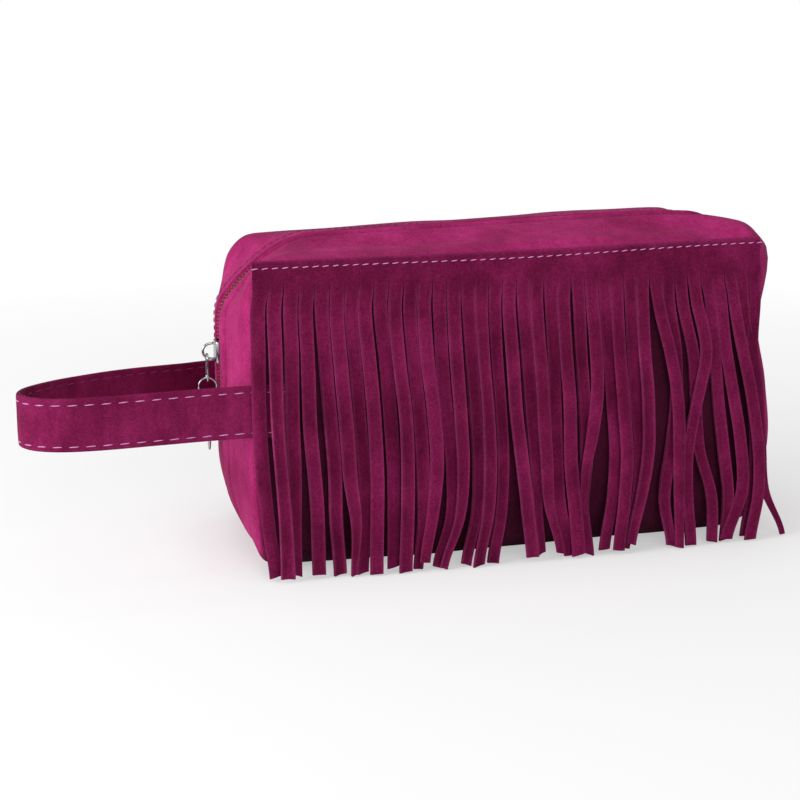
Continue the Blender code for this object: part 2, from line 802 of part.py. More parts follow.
def build_strap(surface):
    """Double-layer strap swept along its plan line, standing on edge."""
    curve = spline(STRAP_LINE, STRAP_STEPS)
    thick = STRAP_THICKNESS / 2
    tall = STRAP_WIDTH / 2
    outline = ((thick, tall - STRAP_BEVEL), (thick - STRAP_BEVEL, tall),
               (STRAP_BEVEL - thick, tall), (-thick, tall - STRAP_BEVEL),
               (-thick, STRAP_BEVEL - tall), (STRAP_BEVEL - thick, -tall),
               (thick - STRAP_BEVEL, -tall), (thick, STRAP_BEVEL - tall))
    points = []
    for index, centre in enumerate(curve):
        along = curve[min(index + 1, len(curve) - 1)] - curve[max(index - 1, 0)]
        along.z = 0
        out = Vector((-along.y, along.x, 0)).normalized()
        points += [centre + out * away + Vector((0, 0, up)) for away, up in outline]
    faces = ring_faces(len(curve), len(outline)) + end_caps(len(curve), len(outline))
    return add_mesh("strap", points, faces, surface, smooth=False)


def fix_normals(item):
    """Face every surface outwards."""
    work = bmesh.new()
    work.from_mesh(item.data)
    bmesh.ops.recalc_face_normals(work, faces=work.faces)
    work.to_mesh(item.data)
    work.free()


def build():
    clear_scene()
    bright = material("suede_bright", SUEDE_BRIGHT, 0.95)
    deep = material("suede_deep", SUEDE_DEEP, 0.95)
    band = material("strap_suede", SUEDE_DEEP, 0.95)
    tape = material("zip_tape", TAPE_RED, 0.85)
    coil = material("zip_coil", COIL_RED, 0.45)
    nickel = material("nickel", NICKEL, 0.25, 1.0)
    track = Track()
    stop_outer = TOOTH_INNER + STOP_WIDTH
    far_stop = track.length - STOP_START - STOP_LENGTH
    items = [
        build_shell(bright),
        build_fringe(deep),
        build_strap(band),
        build_tape("zip_tape_front", -1, tape),
        build_tape("zip_tape_back", 1, tape),
        build_teeth("zip_teeth_front", -1, track, coil),
        build_teeth("zip_teeth_back", 1, track, coil),
        build_stop("top_stop_front", track, STOP_START, -stop_outer, -TOOTH_INNER, nickel),
        build_stop("top_stop_back", track, STOP_START, TOOTH_INNER, stop_outer, nickel),
        build_stop("bottom_stop", track, far_stop, -STOP_WIDTH, STOP_WIDTH, nickel),
        build_slider(nickel),
        build_bail(nickel),
        build_link(nickel),
        build_ring(nickel),
        build_tag(nickel),
    ]
    for item in items:
        fix_normals(item)


build()
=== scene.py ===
"""Fringed suede pouch with a zip and a wrist strap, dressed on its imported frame.

Metres, as in the frame: the fringed front faces -Y, the strap points to -X, and
the zip runs over the top and down both ends.
"""

import math
import random

import bmesh
import bpy
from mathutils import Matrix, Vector, noise


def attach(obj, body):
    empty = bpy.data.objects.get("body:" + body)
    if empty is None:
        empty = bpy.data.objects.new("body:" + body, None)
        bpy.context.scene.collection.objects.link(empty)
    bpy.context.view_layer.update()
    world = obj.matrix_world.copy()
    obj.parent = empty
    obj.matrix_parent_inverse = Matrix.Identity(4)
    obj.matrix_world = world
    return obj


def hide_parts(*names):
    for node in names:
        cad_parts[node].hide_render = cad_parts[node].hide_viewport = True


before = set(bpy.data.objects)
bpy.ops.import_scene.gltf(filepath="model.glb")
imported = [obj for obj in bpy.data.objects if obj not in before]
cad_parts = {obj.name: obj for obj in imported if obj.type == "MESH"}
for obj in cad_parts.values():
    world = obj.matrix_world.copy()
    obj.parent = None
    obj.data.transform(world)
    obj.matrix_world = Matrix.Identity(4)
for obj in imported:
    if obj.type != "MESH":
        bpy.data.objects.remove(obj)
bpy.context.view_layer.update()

MM = 0.001

# Sewn shell
LENGTH = 200 * MM
DEPTH = 80 * MM
HEIGHT = 122 * MM
WALL = 1.8 * MM
SEAM_ROUND = 3 * MM
BASE_ROUND = 14 * MM
TOP_RADIUS_FRONT = 4 * MM
TOP_RADIUS_BACK = 11 * MM
TOP_RADIUS_ZIP_LEFT = 32 * MM
TOP_RADIUS_ZIP_RIGHT = 20 * MM
BOTTOM_RADIUS_EDGE = 12 * MM
BOTTOM_RADIUS_MIDDLE = 16 * MM
FACE_BULGE = 6 * MM
END_BULGE_LEFT = 7 * MM
END_BULGE_RIGHT = 12 * MM
EDGE_SHARE = 0.2
SWELL_REACH = 0.4
SWELL_FOOT = 0.3
SWELL_HEAD = 0.8
RIGHT_SAG = 5 * MM
CROWN = 3.5 * MM
CROWN_TILT = 2.5 * MM

# Where the stuffed skin stands off the plain form, as the photograph shows: the
# front right top corner, the rear left top edge, and down the right end the
# move outwards, the height and the reach of every swell in millimetres
CORNER_PUFF = Vector((4.6, 0, 7.4)) * MM
REAR_DROP = 2.8 * MM
REAR_OUT = 2.3 * MM
RIGHT_SWELLS = ((0.8, 110, 10), (-2.6, 84, 22), (1.8, 42, 24), (3.2, 14, 16))
DART_DEPTH = 2.2 * MM
FOLD_DEPTH = 0.7 * MM
SEAM_DEPTH = 0.3 * MM

# Cells of the skin: four for each cell of the frame
FINE = 4
SIDE_CELLS = 6 * FINE
TOP_CELLS = 10 * FINE
BOTTOM_CELLS = 5 * FINE
TOP_CORNER_CELLS = 6 * FINE
BOTTOM_CORNER_CELLS = 3 * FINE
SLOT_FIRST = 3 * FINE - 1
SLOT_LAST = (SIDE_CELLS - 1) * 2 + (TOP_CORNER_CELLS + 1) * 2 + TOP_CELLS - 2 - SLOT_FIRST
FACE_RINGS = 20
SEAM_RINGS = 6
FLANK_RINGS = 13

# Zip opening, placket and chain
SLOT_HALF = 5 * MM
PLACKET_EDGE = 11 * MM
PLACKET_STEP = 1.2 * MM
PLACKET_FOLD = PLACKET_EDGE + PLACKET_STEP
PLACKET_RAISE = 0.7 * MM
FLANK_SHARE = 0.7
FRONT_LIP = 2.6 * MM
LIP_START = 16 * MM
LIP_FULL = 6 * MM
SEAT_GAP = 0.3 * MM
TAPE_DEPTH = WALL + SEAT_GAP - PLACKET_RAISE
TAPE_THICKNESS = 0.6 * MM
TAPE_INNER = 0.75 * MM
TAPE_OUTER = 8.4 * MM
TOOTH_PITCH = 1.5 * MM
TOOTH_INNER = 0.25 * MM
TOOTH_OUTER = 2.7 * MM
TOOTH_HEIGHT = 1.5 * MM
CHAIN_MARGIN = 4 * MM
ROW_SPREAD = 0.3 * MM
COIL_WIRE = 0.34 * MM
COIL_MESH = 0.55 * MM
COIL_OPEN = 90 * MM
COIL_CLOSED = 96 * MM
COIL_STEPS = 700

# Slider and pull
SLIDER_HEIGHT = 80 * MM
SLIDER_LENGTH = 8.2 * MM
SLIDER_ROLL = 0.16 * MM
PLATE_THICKNESS = 1.0 * MM
PLATE_TOP = TOOTH_HEIGHT - TAPE_DEPTH + 2 * SEAT_GAP + PLATE_THICKNESS
TRACK_X = -(LENGTH / 2 + END_BULGE_LEFT)
WIRE_GAP = 0.15 * MM
BAIL_WIRE = 0.5 * MM
BAIL_REACH = 4.5 * MM
BAIL_HALF = 3.1 * MM
LINK_WIRE = 0.45 * MM
LINK_OUT = 4.8 * MM
LINK_HALF = 1.9 * MM
LINK_LENGTH = 10.4 * MM
LINK_RISE = 0.8 * MM
RING_WIRE = 0.4 * MM
RING_RADIUS = 3.55 * MM
TAG_LENGTH = 26.5 * MM
TAG_HALF = 3.7 * MM
TAG_THICKNESS = 1.2 * MM
TAG_EYE = 1.3 * MM
TAG_NECK = 2.5 * MM
TAG_BELLY = 1.6
ARCH_STEPS = 32
LINK_STEPS = 16
RING_STEPS = 64
TAG_STEPS = 72

# Fringe
SUEDE = 1.0 * MM
STRIP_TAPER = 0.05
STRIP_GAP = 0.4 * MM
LEFT_CUT = 113.6 * MM
RIGHT_CUT = 110.5 * MM
BAND_TOP = 121.75 * MM
BAND_RISE = 0.9 * MM
BAND_FOLD = 118.4 * MM
BAND_INSET = 1.25 * MM
BAND_RIM = 0.5 * MM
HANG_HEIGHT = 61 * MM
FRINGE_CLEAR = 0.6 * MM
LAYER_START = 0.38
LAYER_GAP = 2.2 * MM
STRIP_TWIST = math.radians(11)
LEAN_LEAD = 0.08
LEAN_STEP = 0.18
# For every strip: sideways leans down its length and the end's height in tenths of
# a millimetre; between them its width a third and two thirds down and at the end,
# in hundredths of the cut width
STRIP_PATHS = (
    ((-13, -19, -18, -10, 8, 29), (96, 92, 81), 16),
    ((-11, -15, -13, 0, 10, 15), (92, 91, 100), 15),
    ((-8, -11, -11, -8, -5, 1), (100, 96, 55), 18),
    ((-8, -7, -2, 9, 20, 25), (100, 100, 100), 17),
    ((-4, 7, 21, 34, 37, 52), (99, 100, 91), 7),
    ((-5, 4, 18, 31, 56, 45), (100, 100, 48), 7),
    ((-7, 5, 19, 33, 37, 28), (96, 96, 85), 7),
    ((-12, -1, 15, 22, 21, 20), (100, 100, 100), 7),
    ((-8, 8, 22, 35, 35, 32), (100, 100, 91), 22),
    ((-9, 2, 22, 33, 29, 21), (96, 100, 100), 7),
    ((-7, 6, 25, 37, 38, 21), (100, 100, 68), 7),
    ((-8, -2, 19, 33, 15, -14), (100, 100, 77), 40),
    ((-3, 3, 20, 43, 38, -13), (100, 92, 68), 7),
    ((-3, 2, 16, 26, 15, -46), (100, 92, 53), 7),
    ((-1, 10, 26, 36, 31, -8), (100, 92, 79), 7),
    ((-6, 0, 14, 27, 18, -18), (86, 99, 90), 7),
    ((-7, -1, 16, 30, 21, -10), (93, 96, 94), 7),
    ((-6, 3, 17, 43, 69, 94), (100, 100, 100), 22),
    ((-2, 11, 29, 47, 63, 84), (100, 100, 58), 27),
    ((-5, 3, 18, 34, 48, 100), (100, 100, 66), 29),
    ((0, 9, 19, 29, 47, 95), (100, 100, 100), 7),
    ((-5, 1, 16, 26, 47, 66), (99, 100, 100), 14),
    ((5, 12, 31, 43, 31, 60), (100, 100, 100), 7),
    ((3, 11, 20, 5, -21, -21), (100, 98, 42), 177),
    ((3, 19, 36, 53, 47, 18), (100, 100, 94), 21),
    ((-1, 5, 24, 44, 34, 17), (100, 100, 91), 20),
    ((1, 11, 30, 56, 47, 2), (100, 100, 74), 17),
    ((-3, 1, 18, 28, 5, -34), (100, 100, 79), 39),
    ((11, 56, 92, 104, 112, 120), (100, 100, 71), 7),
    ((2, 33, 40, 26, 7, 45), (100, 100, 89), 7),
    ((8, 53, 72, 92, 156, 169), (100, 100, 92), 9),
    ((12, 51, 19, -11, -5, 17), (100, 100, 100), 8),
    ((21, 44, 68, 100, 126, 123), (100, 100, 100), 9),
    ((15, 38, 79, 116, 131, 74), (100, 100, 100), 16),
    ((16, 52, 101, 139, 149, 124), (100, 100, 100), 7),
    ((9, 34, 64, 88, 89, 62), (100, 100, 100), 11),
    ((10, 4, 35, 56, 86, 175), (100, 98, 46), 7),
)
# Strips that hang at another depth than every second one
STRIP_LAYERS = {28: 1, 29: 0, 30: 0, 31: 1, 32: 0, 33: 0.55, 34: 1.1, 35: 0, 36: 0.55}
STRIP_COLUMNS = (-1, -0.9, -0.55, 0, 0.55, 0.9, 1)
STRIP_ROWS = 44
CUT_SEED = 11
CURL_SEED = 23
BAND_STEPS = 8

# Wrist strap: millimetres from the shell's left end, share of its half depth, height
STRAP_WIDTH = 19.9 * MM
STRAP_RISE = 0.2 * MM
STRAP_THICKNESS = 2.0 * MM
STRAP_STEPS = 7
STRAP_LINE = (
    (12, -1.0975, 65.8), (6, -1.0725, 65.8), (0, -1.0575, 65.8), (-7, -1.055, 65.8),
    (-20, -1.065, 65.8), (-40, -1.085, 65.6), (-58, -1.095, 65.4), (-71, -1.06, 65.3),
    (-80, -0.95, 65.2), (-84.6, -0.775, 65), (-84.2, -0.575, 64.4), (-80, -0.35, 63.6),
    (-71, -0.085, 62.6), (-60, 0.15, 61.6), (-49, 0.36, 60.6), (-38, 0.545, 59.5),
    (-27, 0.715, 58.3), (-16, 0.87, 57.2), (-7.5, 0.99, 56.5), (0, 1.05, 56.1),
    (6, 1.0725, 56), (14, 1.1025, 56), (22, 1.1225, 56),
)
STRAP_LIFT = 2.6 * MM
STRAP_END = 14 * MM
STRAP_COVER = 7 * MM
STRAP_LIFT_LOW = 36 * MM
STRAP_LIFT_HIGH = 16 * MM

# Stitches
BAND_ROW = 119.2 * MM
BAND_ROW_SWAY = 0.15 * MM
BAND_ROW_RISE = 1.5 * MM
BAND_ROW_STEPS = 120
BAND_PITCH = 3.7 * MM
BAND_DASH = 2.6 * MM
STRAP_UPPER = 7.6 * MM
STRAP_LOWER = -7.9 * MM
STRAP_HEM = 1.5 * MM
STRAP_PITCH = 6.0 * MM
STRAP_DASH = 3.8 * MM
THREAD_WIDTH = 0.4 * MM
PLACKET_ROW = 9.2 * MM
PLACKET_HEM = 4
PLACKET_PITCH = 3.0 * MM
PLACKET_DASH = 2.2 * MM

# Studio and view
FLOOR_HALF = 3.0
LAMP_AIM = Vector((0, 0, 0.06))
LAMPS = (("left_softbox", (-0.95, -0.25, 0.4), 0.6, 9),
         ("front_fill", (0.0, -1.2, 0.5), 0.8, 5),
         ("top_softbox", (-0.1, 0.0, 1.2), 0.7, 3.2))
CAMERA_PLACE = (-0.20149, -0.66183, 0.23613)
CAMERA_TURN = (math.radians(75.166), 0, math.radians(-14.174))
CAMERA_LENS = 78.9
CAMERA_SENSOR = 36
WHITE = (1, 1, 1, 1)
PAPER = (0.93, 0.93, 0.93, 1)


class Value:
    """A socket that takes part in sums: an expression on it adds the Math nodes."""

    def __init__(self, nodes, socket):
        self.nodes = nodes
        self.socket = socket

    def maths(self, operation, first, second, limited=False):
        settings = {"operation": operation, "use_clamp": limited}
        return self.nodes.add("ShaderNodeMath", settings, {0: first, 1: second})

    def __add__(self, other):
        return self.maths("ADD", self, other)

    def __radd__(self, other):
        return self.maths("ADD", other, self)

    def __sub__(self, other):
        return self.maths("SUBTRACT", self, other)

    def __mul__(self, other):
        return self.maths("MULTIPLY", self, other)

    def limited(self):
        return self.maths("ADD", self, 0.0, limited=True)


class Nodes:
    """Fills one node tree: a node's type, its settings, then its sockets."""

    def __init__(self, tree):
        self.tree = tree

    def add(self, kind, settings=None, sockets=None, out=0):
        node = self.tree.nodes.new(kind)
        for name, value in (settings or {}).items():
            if name == "stops":
                self.place_stops(node.color_ramp, value)
            else:
                setattr(node, name, value)
        for name, value in (sockets or {}).items():
            self.feed(node.inputs[name], value)
        return Value(self, node.outputs[out]) if node.outputs else node

    def feed(self, socket, value):
        if isinstance(value, Value):
            self.tree.links.new(value.socket, socket)
        else:
            socket.default_value = value

    def place_stops(self, ramp, stops):
        while len(ramp.elements) < len(stops):
            ramp.elements.new(0.5)
        for element, (position, colour) in zip(ramp.elements, stops):
            element.position = position
            element.color = (*colour, 1.0)


class Finish(Nodes):
    """A material with a Principled shader and the patterns that the finishes share."""

    def __init__(self, name, constants):
        self.material = bpy.data.materials.new(name)
        self.material.use_nodes = True
        super().__init__(self.material.node_tree)
        self.shader = self.tree.nodes["Principled BSDF"]
        for socket, value in constants.items():
            self.shader.inputs[socket].default_value = value

    def place(self):
        return self.add("ShaderNodeTexCoord", out=3)

    def stretched(self, place, scale):
        return self.add("ShaderNodeMapping", None, {0: place, 3: scale})

    def cloud(self, place, scale, detail=2.0, roughness=0.5):
        sockets = {"Vector": place, "Scale": scale, "Detail": detail, "Roughness": roughness}
        return self.add("ShaderNodeTexNoise", None, sockets)

    def measure(self, name):
        return self.add("ShaderNodeAttribute", {"attribute_name": name}, out=2)

    def tint(self, factor, first, second):
        sockets = {0: factor, 6: first, 7: second}
        return self.add("ShaderNodeMix", {"data_type": "RGBA"}, sockets, out=2)

    def shade(self, tone, dark, light):
        return self.tint(tone.limited(), (*dark, 1.0), (*light, 1.0))

    def ramp(self, factor, stops):
        return self.add("ShaderNodeValToRGB", {"stops": stops}, {0: factor})

    def surface(self, colour, roughness, height=None, strength=0.3, distance=0.3 * MM):
        self.feed(self.shader.inputs["Base Color"], colour)
        self.feed(self.shader.inputs["Roughness"], roughness)
        if height is not None:
            sockets = {"Height": height, "Strength": strength, "Distance": distance}
            normal = self.add("ShaderNodeBump", None, sockets)
            self.feed(self.shader.inputs["Normal"], normal)
        return self.material


def suede(name, dark, middle, light, edge=None, painted_shade_tones=None):
    """Napped hide: brushed patches, fine fibres, paler cut edges that also carry a painted
    highlight, and painted shade where the shell lies in shadow.
    """
    finish = Finish(name, {"Sheen Weight": 0.03, "Sheen Roughness": 0.4,
                           "Specular IOR Level": 0.06})
    place = finish.place()
    patches = finish.cloud(place, 42, 4, 0.6)
    brushed = finish.cloud(finish.stretched(place, (1, 1, 0.35)), 260, 3, 0.6)
    nap = finish.cloud(place, 1100, 2, 0.6)
    fibres = finish.cloud(place, 3600, 1, 0.5)
    tone = 0.5 + (patches - 0.5) * 1.35 + (brushed - 0.5) * 0.5
    tone = (tone + (nap - 0.5) * 0.75 + (fibres - 0.5) * 0.8).limited()
    colour = finish.ramp(tone, ((0.1, dark), (0.5, middle), (0.92, light)))
    # Paler cut edges: partly the cut hide's own paler colour, partly a painted highlight along the
    # strips' edges and the band's top rim.
    if edge:
        pale_edge_and_highlight = (finish.measure("edge") * (0.1 + nap * 0.8)).limited()
        colour = finish.tint(pale_edge_and_highlight, colour, (*edge, 1.0))
    # Painted shade: darker tones mixed in by the shell's painted-shade share, behind the fringe,
    # at the foot and in the placket fold.
    if painted_shade_tones:
        shaded = finish.ramp(tone, ((0.1, painted_shade_tones[0]), (0.92, painted_shade_tones[1])))
        colour = finish.tint(finish.measure("lined"), colour, shaded)
    height = nap * 0.6 + fibres * 0.4 + brushed * 0.5
    return finish.surface(colour, 0.86 + nap * 0.12, height, 0.35, 0.25 * MM)


def woven_tape(name, dark, light):
    """Fine herringbone tape: the pattern follows the tape's own map."""
    finish = Finish(name, {"Sheen Weight": 0.15, "Sheen Roughness": 0.5,
                           "Specular IOR Level": 0.2})
    weave = finish.add("ShaderNodeUVMap")
    along = finish.add("ShaderNodeSeparateXYZ", None, {0: weave}, out=0)
    across = finish.add("ShaderNodeSeparateXYZ", None, {0: weave}, out=1)
    slant = finish.add("ShaderNodeMath", {"operation": "PINGPONG"}, {0: across, 1: 0.9 * MM})
    ribs = finish.add("ShaderNodeMath", {"operation": "SINE"}, {0: (along + slant) * 9500})
    threads = finish.add("ShaderNodeMath", {"operation": "SINE"}, {0: across * 16000})
    fuzz = finish.cloud(finish.place(), 1800, 2)
    relief = ribs * 0.3 + threads * 0.15 + 0.5
    colour = finish.shade(relief * 0.7 + fuzz * 0.3, dark, light)
    return finish.surface(colour, 0.75 + fuzz * 0.2, relief, 0.5, 0.15 * MM)


def moulded_nylon(name, dark, light):
    """Smooth nylon wire with a faint speckle."""
    finish = Finish(name, {"Specular IOR Level": 0.5})
    place = finish.place()
    wash = finish.cloud(place, 300, 3)
    speckle = finish.cloud(place, 2600, 2)
    colour = finish.shade(wash * 0.7 + speckle * 0.4, dark, light)
    return finish.surface(colour, 0.28 + speckle * 0.2, speckle, 0.1, 0.05 * MM)


def plated_metal(name, dull, bright):
    """Bright nickel plate with faint tumbling marks."""
    finish = Finish(name, {"Metallic": 1.0})
    place = finish.place()
    haze = finish.cloud(place, 420, 4, 0.6)
    marks = finish.cloud(finish.stretched(place, (1, 1, 6)), 1500, 3, 0.7)
    colour = finish.shade(haze * 0.8 + marks * 0.2, dull, bright)
    return finish.surface(colour, 0.14 + haze * 0.14, marks, 0.06, 0.04 * MM)


def sewing_thread(name, dark, light):
    """Twisted thread whose turns catch the light."""
    finish = Finish(name, {"Sheen Weight": 0.1, "Specular IOR Level": 0.35})
    place = finish.place()
    turns = finish.cloud(finish.stretched(place, (1, 1, 2.5)), 1700, 2)
    wash = finish.cloud(place, 120, 2)
    colour = finish.shade(turns * 0.7 + wash * 0.3, dark, light)
    return finish.surface(colour, 0.5 + turns * 0.2, turns, 0.4, 0.1 * MM)


# The two darkest tones last given below are painted shade, mixed into the shell's suede behind the
# fringe, at its foot and in the placket fold.
BRIGHT_SUEDE = suede("suede_bright", (0.18, 0.007, 0.056), (0.3, 0.015, 0.104),
                     (0.45, 0.03, 0.175),
                     painted_shade_tones=((0.022, 0.002, 0.008), (0.075, 0.006, 0.028)))
# suede_deep and strap_suede are darker copies of the shell's suede: painted shade for the fringe
# and the strap, which face the less-lit front. The fringe's edge tone is the paler cut edge,
# partly a painted highlight.
FRINGE_SHADED_COPY = suede("suede_deep", (0.07, 0.002, 0.022), (0.125, 0.005, 0.04), (0.215, 0.012, 0.078),
                   edge=(0.25, 0.03, 0.11))
STRAP_SHADED_COPY = suede("strap_suede", (0.09, 0.003, 0.029), (0.15, 0.007, 0.049),
                    (0.24, 0.015, 0.09))
CUT_SUEDE = suede("suede_cut_edge", (0.1, 0.007, 0.036), (0.17, 0.014, 0.07), (0.26, 0.035, 0.12))
TAPE_CLOTH = woven_tape("zip_tape_cloth", (0.08, 0.005, 0.015), (0.2, 0.014, 0.034))
COIL_NYLON = moulded_nylon("zip_coil_nylon", (0.1, 0.006, 0.012), (0.27, 0.03, 0.025))
NICKEL = plated_metal("nickel_plate", (0.24, 0.24, 0.26), (0.62, 0.62, 0.64))
THREAD = sewing_thread("lilac_thread", (0.42, 0.14, 0.36), (0.7, 0.36, 0.62))
PLUM_THREAD = sewing_thread("plum_thread", (0.1, 0.006, 0.04), (0.24, 0.03, 0.12))


def clamp(value, low=0.0, high=1.0):
    return min(max(value, low), high)


def smooth_step(value, low, high):
    part = clamp((value - low) / (high - low))
    return part * part * (3 - 2 * part)


def within(value, low, high):
    """Smooth step between two limits that are given in millimetres."""
    return smooth_step(value, low * MM, high * MM)


def blend(low, high, part):
    return low + (high - low) * part


def hump(value, middle, reach):
    """One at the middle, falling smoothly to nought at the reach."""
    return 1 - smooth_step(abs(value - middle), 0, reach)


def arc(steps, start=0.0, turn=2 * math.pi):
    """Cosine and sine at even steps of a turn, with both ends."""
    angles = [start + turn * step / steps for step in range(steps + 1)]
    return [(math.cos(angle), math.sin(angle)) for angle in angles]


def rough(point, scale, seed=0.0):
    """Smooth noise between -1 and 1; the scale is waves in a metre."""
    return noise.noise(point * scale + Vector((seed, seed * 2, -seed)))


def ring_faces(rings, size, closed=False):
    """Quads between neighbouring rings of the same size."""
    faces = []
    for ring in range(rings if closed else rings - 1):
        here = ring * size
        there = ((ring + 1) % rings) * size
        for step in range(size):
            following = (step + 1) % size
            faces.append((here + step, here + following, there + following, there + step))
    return faces


def end_caps(rings, size):
    last = (rings - 1) * size
    return [tuple(reversed(range(size))), tuple(range(last, last + size))]


def curve_between(before, first, second, after, t):
    """Smooth curve from the first to the second of four even steps."""
    return 0.5 * (2 * first + (second - before) * t
                  + (2 * before - 5 * first + 4 * second - after) * t ** 2
                  + (3 * first - before - 3 * second + after) * t ** 3)


def into_scene(name, data):
    thing = bpy.data.objects.new(name, data)
    bpy.context.scene.collection.objects.link(thing)
    return thing


def plain_mesh(name, points, edges, faces):
    mesh = bpy.data.meshes.new(name)
    mesh.from_pydata([tuple(point) for point in points], edges, faces)
    return mesh


def add_piece(name, points, faces, *finishes, smooth=True):
    """Closed piece of the given points and faces, with its normals outwards."""
    mesh = plain_mesh(name, points, [], faces)
    mesh.validate()
    for finish in finishes:
        mesh.materials.append(finish)
    piece = into_scene(name, mesh)
    turn_outwards(piece)
    if smooth:
        mesh.shade_smooth()
    else:
        mesh.shade_flat()
    return piece


def turn_outwards(piece):
    work = bmesh.new()
    work.from_mesh(piece.data)
    bmesh.ops.recalc_face_normals(work, faces=work.faces)
    work.to_mesh(piece.data)
    work.free()


def settle(piece):
    """Turn the modifiers' result into the piece's own plain mesh."""
    graph = bpy.context.evaluated_depsgraph_get()
    made = bpy.data.meshes.new_from_object(piece.evaluated_get(graph))
    piece.modifiers.clear()
    made.name = piece.name
    piece.data = made


def belongs(piece, body, slot, *nodes):
    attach(piece, body)
    if nodes:
        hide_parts(*nodes)


# Shell

def depth_share(y):
    """One in the zip's plane and nought at the front and back faces."""
    return clamp(1 - (y / (DEPTH / 2)) ** 2)


def corner_radii(y, inset):
    share = depth_share(y)
    rear = (y / (DEPTH / 2) + 1) / 2
    edge = blend(TOP_RADIUS_FRONT, TOP_RADIUS_BACK, rear)
    left = blend(edge, TOP_RADIUS_ZIP_LEFT, share) - inset / 2
    right = blend(edge, TOP_RADIUS_ZIP_RIGHT, share) - inset / 2
    bottom = blend(BOTTOM_RADIUS_EDGE, BOTTOM_RADIUS_MIDDLE, share) - inset / 2
    return left, right, bottom


def corner(centre_x, centre_z, radius, start, cells):
    return [(centre_x + radius * across, centre_z + radius * up, across, up)
            for across, up in arc(cells, start, -math.pi / 2)]


def side(first, last, cells):
    """Nodes strictly between two corner nodes."""
    return [(blend(first[0], last[0], step / cells), blend(first[1], last[1], step / cells),
             first[2], first[3]) for step in range(1, cells)]


def section(y, inset):
    """Rounded outline in the XZ plane, from the bottom left upwards and round."""
    left, right, bottom = corner_radii(y, inset)
    half = LENGTH / 2 - inset
    high = HEIGHT - inset
    corners = (
        corner(left - half, high - left, left, math.pi, TOP_CORNER_CELLS),
        corner(half - right, high - right, right, math.pi / 2, TOP_CORNER_CELLS),
        corner(half - bottom, inset + bottom, bottom, 0, BOTTOM_CORNER_CELLS),
        corner(bottom - half, inset + bottom, bottom, -math.pi / 2, BOTTOM_CORNER_CELLS),
    )
    nodes = side(corners[3][-1], corners[0][0], SIDE_CELLS)
    for index, cells in enumerate((TOP_CELLS, SIDE_CELLS, BOTTOM_CELLS)):
        nodes += corners[index]
        nodes += side(corners[index][-1], corners[index + 1][0], cells)
    return nodes + corners[3]


def front_lip(y, z):
    """Extra height of the front placket's crest, which hides the chain from the front."""
    inner = smooth_step(-y, SLOT_HALF, PLACKET_EDGE)
    outer = 1 - smooth_step(-y, PLACKET_FOLD, FLANK_SHARE * DEPTH / 2)
    return FRONT_LIP * inner * outer * smooth_step(z, HEIGHT - LIP_START, HEIGHT - LIP_FULL)


def face_bulge(x, z):
    across = clamp(abs(x) / (LENGTH / 2)) ** 4
    up = clamp(abs(2 * z / HEIGHT - 1)) ** 2
    return FACE_BULGE * (1 - across) * (1 - up)


def end_swell(x, y, z):
    """Outward move of an end panel."""
    height = z / HEIGHT
    level = smooth_step(height, 0, SWELL_FOOT) * (1 - smooth_step(height, SWELL_HEAD, 1.0))
    near_end = clamp(1 - (1 - abs(x) / (LENGTH / 2)) / SWELL_REACH) ** 2
    share = blend(EDGE_SHARE, 1, depth_share(y)) * level * near_end
    if x < 0:
        return -END_BULGE_LEFT * share
    sag = RIGHT_SAG * smooth_step(height, 0.02, 0.2) * (1 - smooth_step(height, 0.25, 1.0))
    return END_BULGE_RIGHT * share + sag * near_end


def crown(x, y, z):
    along = 1 - clamp(abs(x) / (LENGTH / 2)) ** 8
    high = clamp(2 * z / HEIGHT - 1) ** 2
    lift = CROWN + CROWN_TILT * x / (LENGTH / 2)
    return lift * depth_share(y) ** 0.8 * along * high


def base_pull(z):
    """Share of the depth kept near the rounded foot of the front and back."""
    low = clamp((BASE_ROUND - z) / BASE_ROUND)
    return 1 - BASE_ROUND / (DEPTH / 2) * (1 - math.sqrt(1 - low * low))


def fill_out(x, y, z, cap=0.0):
    """Turn the plain boxy form into the stuffed one."""
    moved_x = x + end_swell(x, y, z)
    moved_z = z + crown(x, y, z)
    moved_y = y + math.copysign(face_bulge(x, z) * cap, y)
    return Vector((moved_x, moved_y * base_pull(z), moved_z))


def skin_ring(y, inset=0.0, scale=1.0, raised=0.0, cap=0.0):
    """Points of the shell's outer skin at one station."""
    points = []
    for index, (x, z, out_x, out_z) in enumerate(section(y, inset)):
        x *= scale
        z = HEIGHT / 2 + (z - HEIGHT / 2) * scale
        point = fill_out(x, y, z, cap)
        if SLOT_FIRST <= index <= SLOT_LAST:
            point += Vector((out_x, 0, out_z)) * (raised + front_lip(y, z))
        points.append(point)
    return points


def shell_stations():
    """Keyword sets for the skin rings, from the front middle to the back middle."""
    half = DEPTH / 2
    outer = [dict(y=half, inset=SEAM_ROUND, scale=step / FACE_RINGS, cap=1.0)
             for step in range(1, FACE_RINGS)]
    for turn in range(SEAM_RINGS + 1):
        flat = 1 - turn / SEAM_RINGS
        angle = math.pi / 2 * flat
        outer.append(dict(y=half - SEAM_ROUND * (1 - math.sin(angle)), cap=flat,
                          inset=SEAM_ROUND * (1 - math.cos(angle))))
    for step in range(1, FLANK_RINGS + 1):
        y = blend(half - SEAM_ROUND, PLACKET_FOLD + 1 * MM, step / FLANK_RINGS)
        outer.append(dict(y=y))
    for y, raised in ((PLACKET_FOLD, -0.5), (PLACKET_FOLD - 0.5 * MM, -0.3), (PLACKET_EDGE, 0.6),
                      (PLACKET_EDGE - 0.8 * MM, 0.95), (8 * MM, 1.0), (6 * MM, 1.0),
                      (SLOT_HALF + 0.3 * MM, 1.0), (SLOT_HALF, 0.8)):
        outer.append(dict(y=y, raised=PLACKET_RAISE * raised))
    front = [dict(station, y=-station["y"]) for station in outer]
    return front + [dict(y=0.0, raised=PLACKET_RAISE)] + outer[::-1]


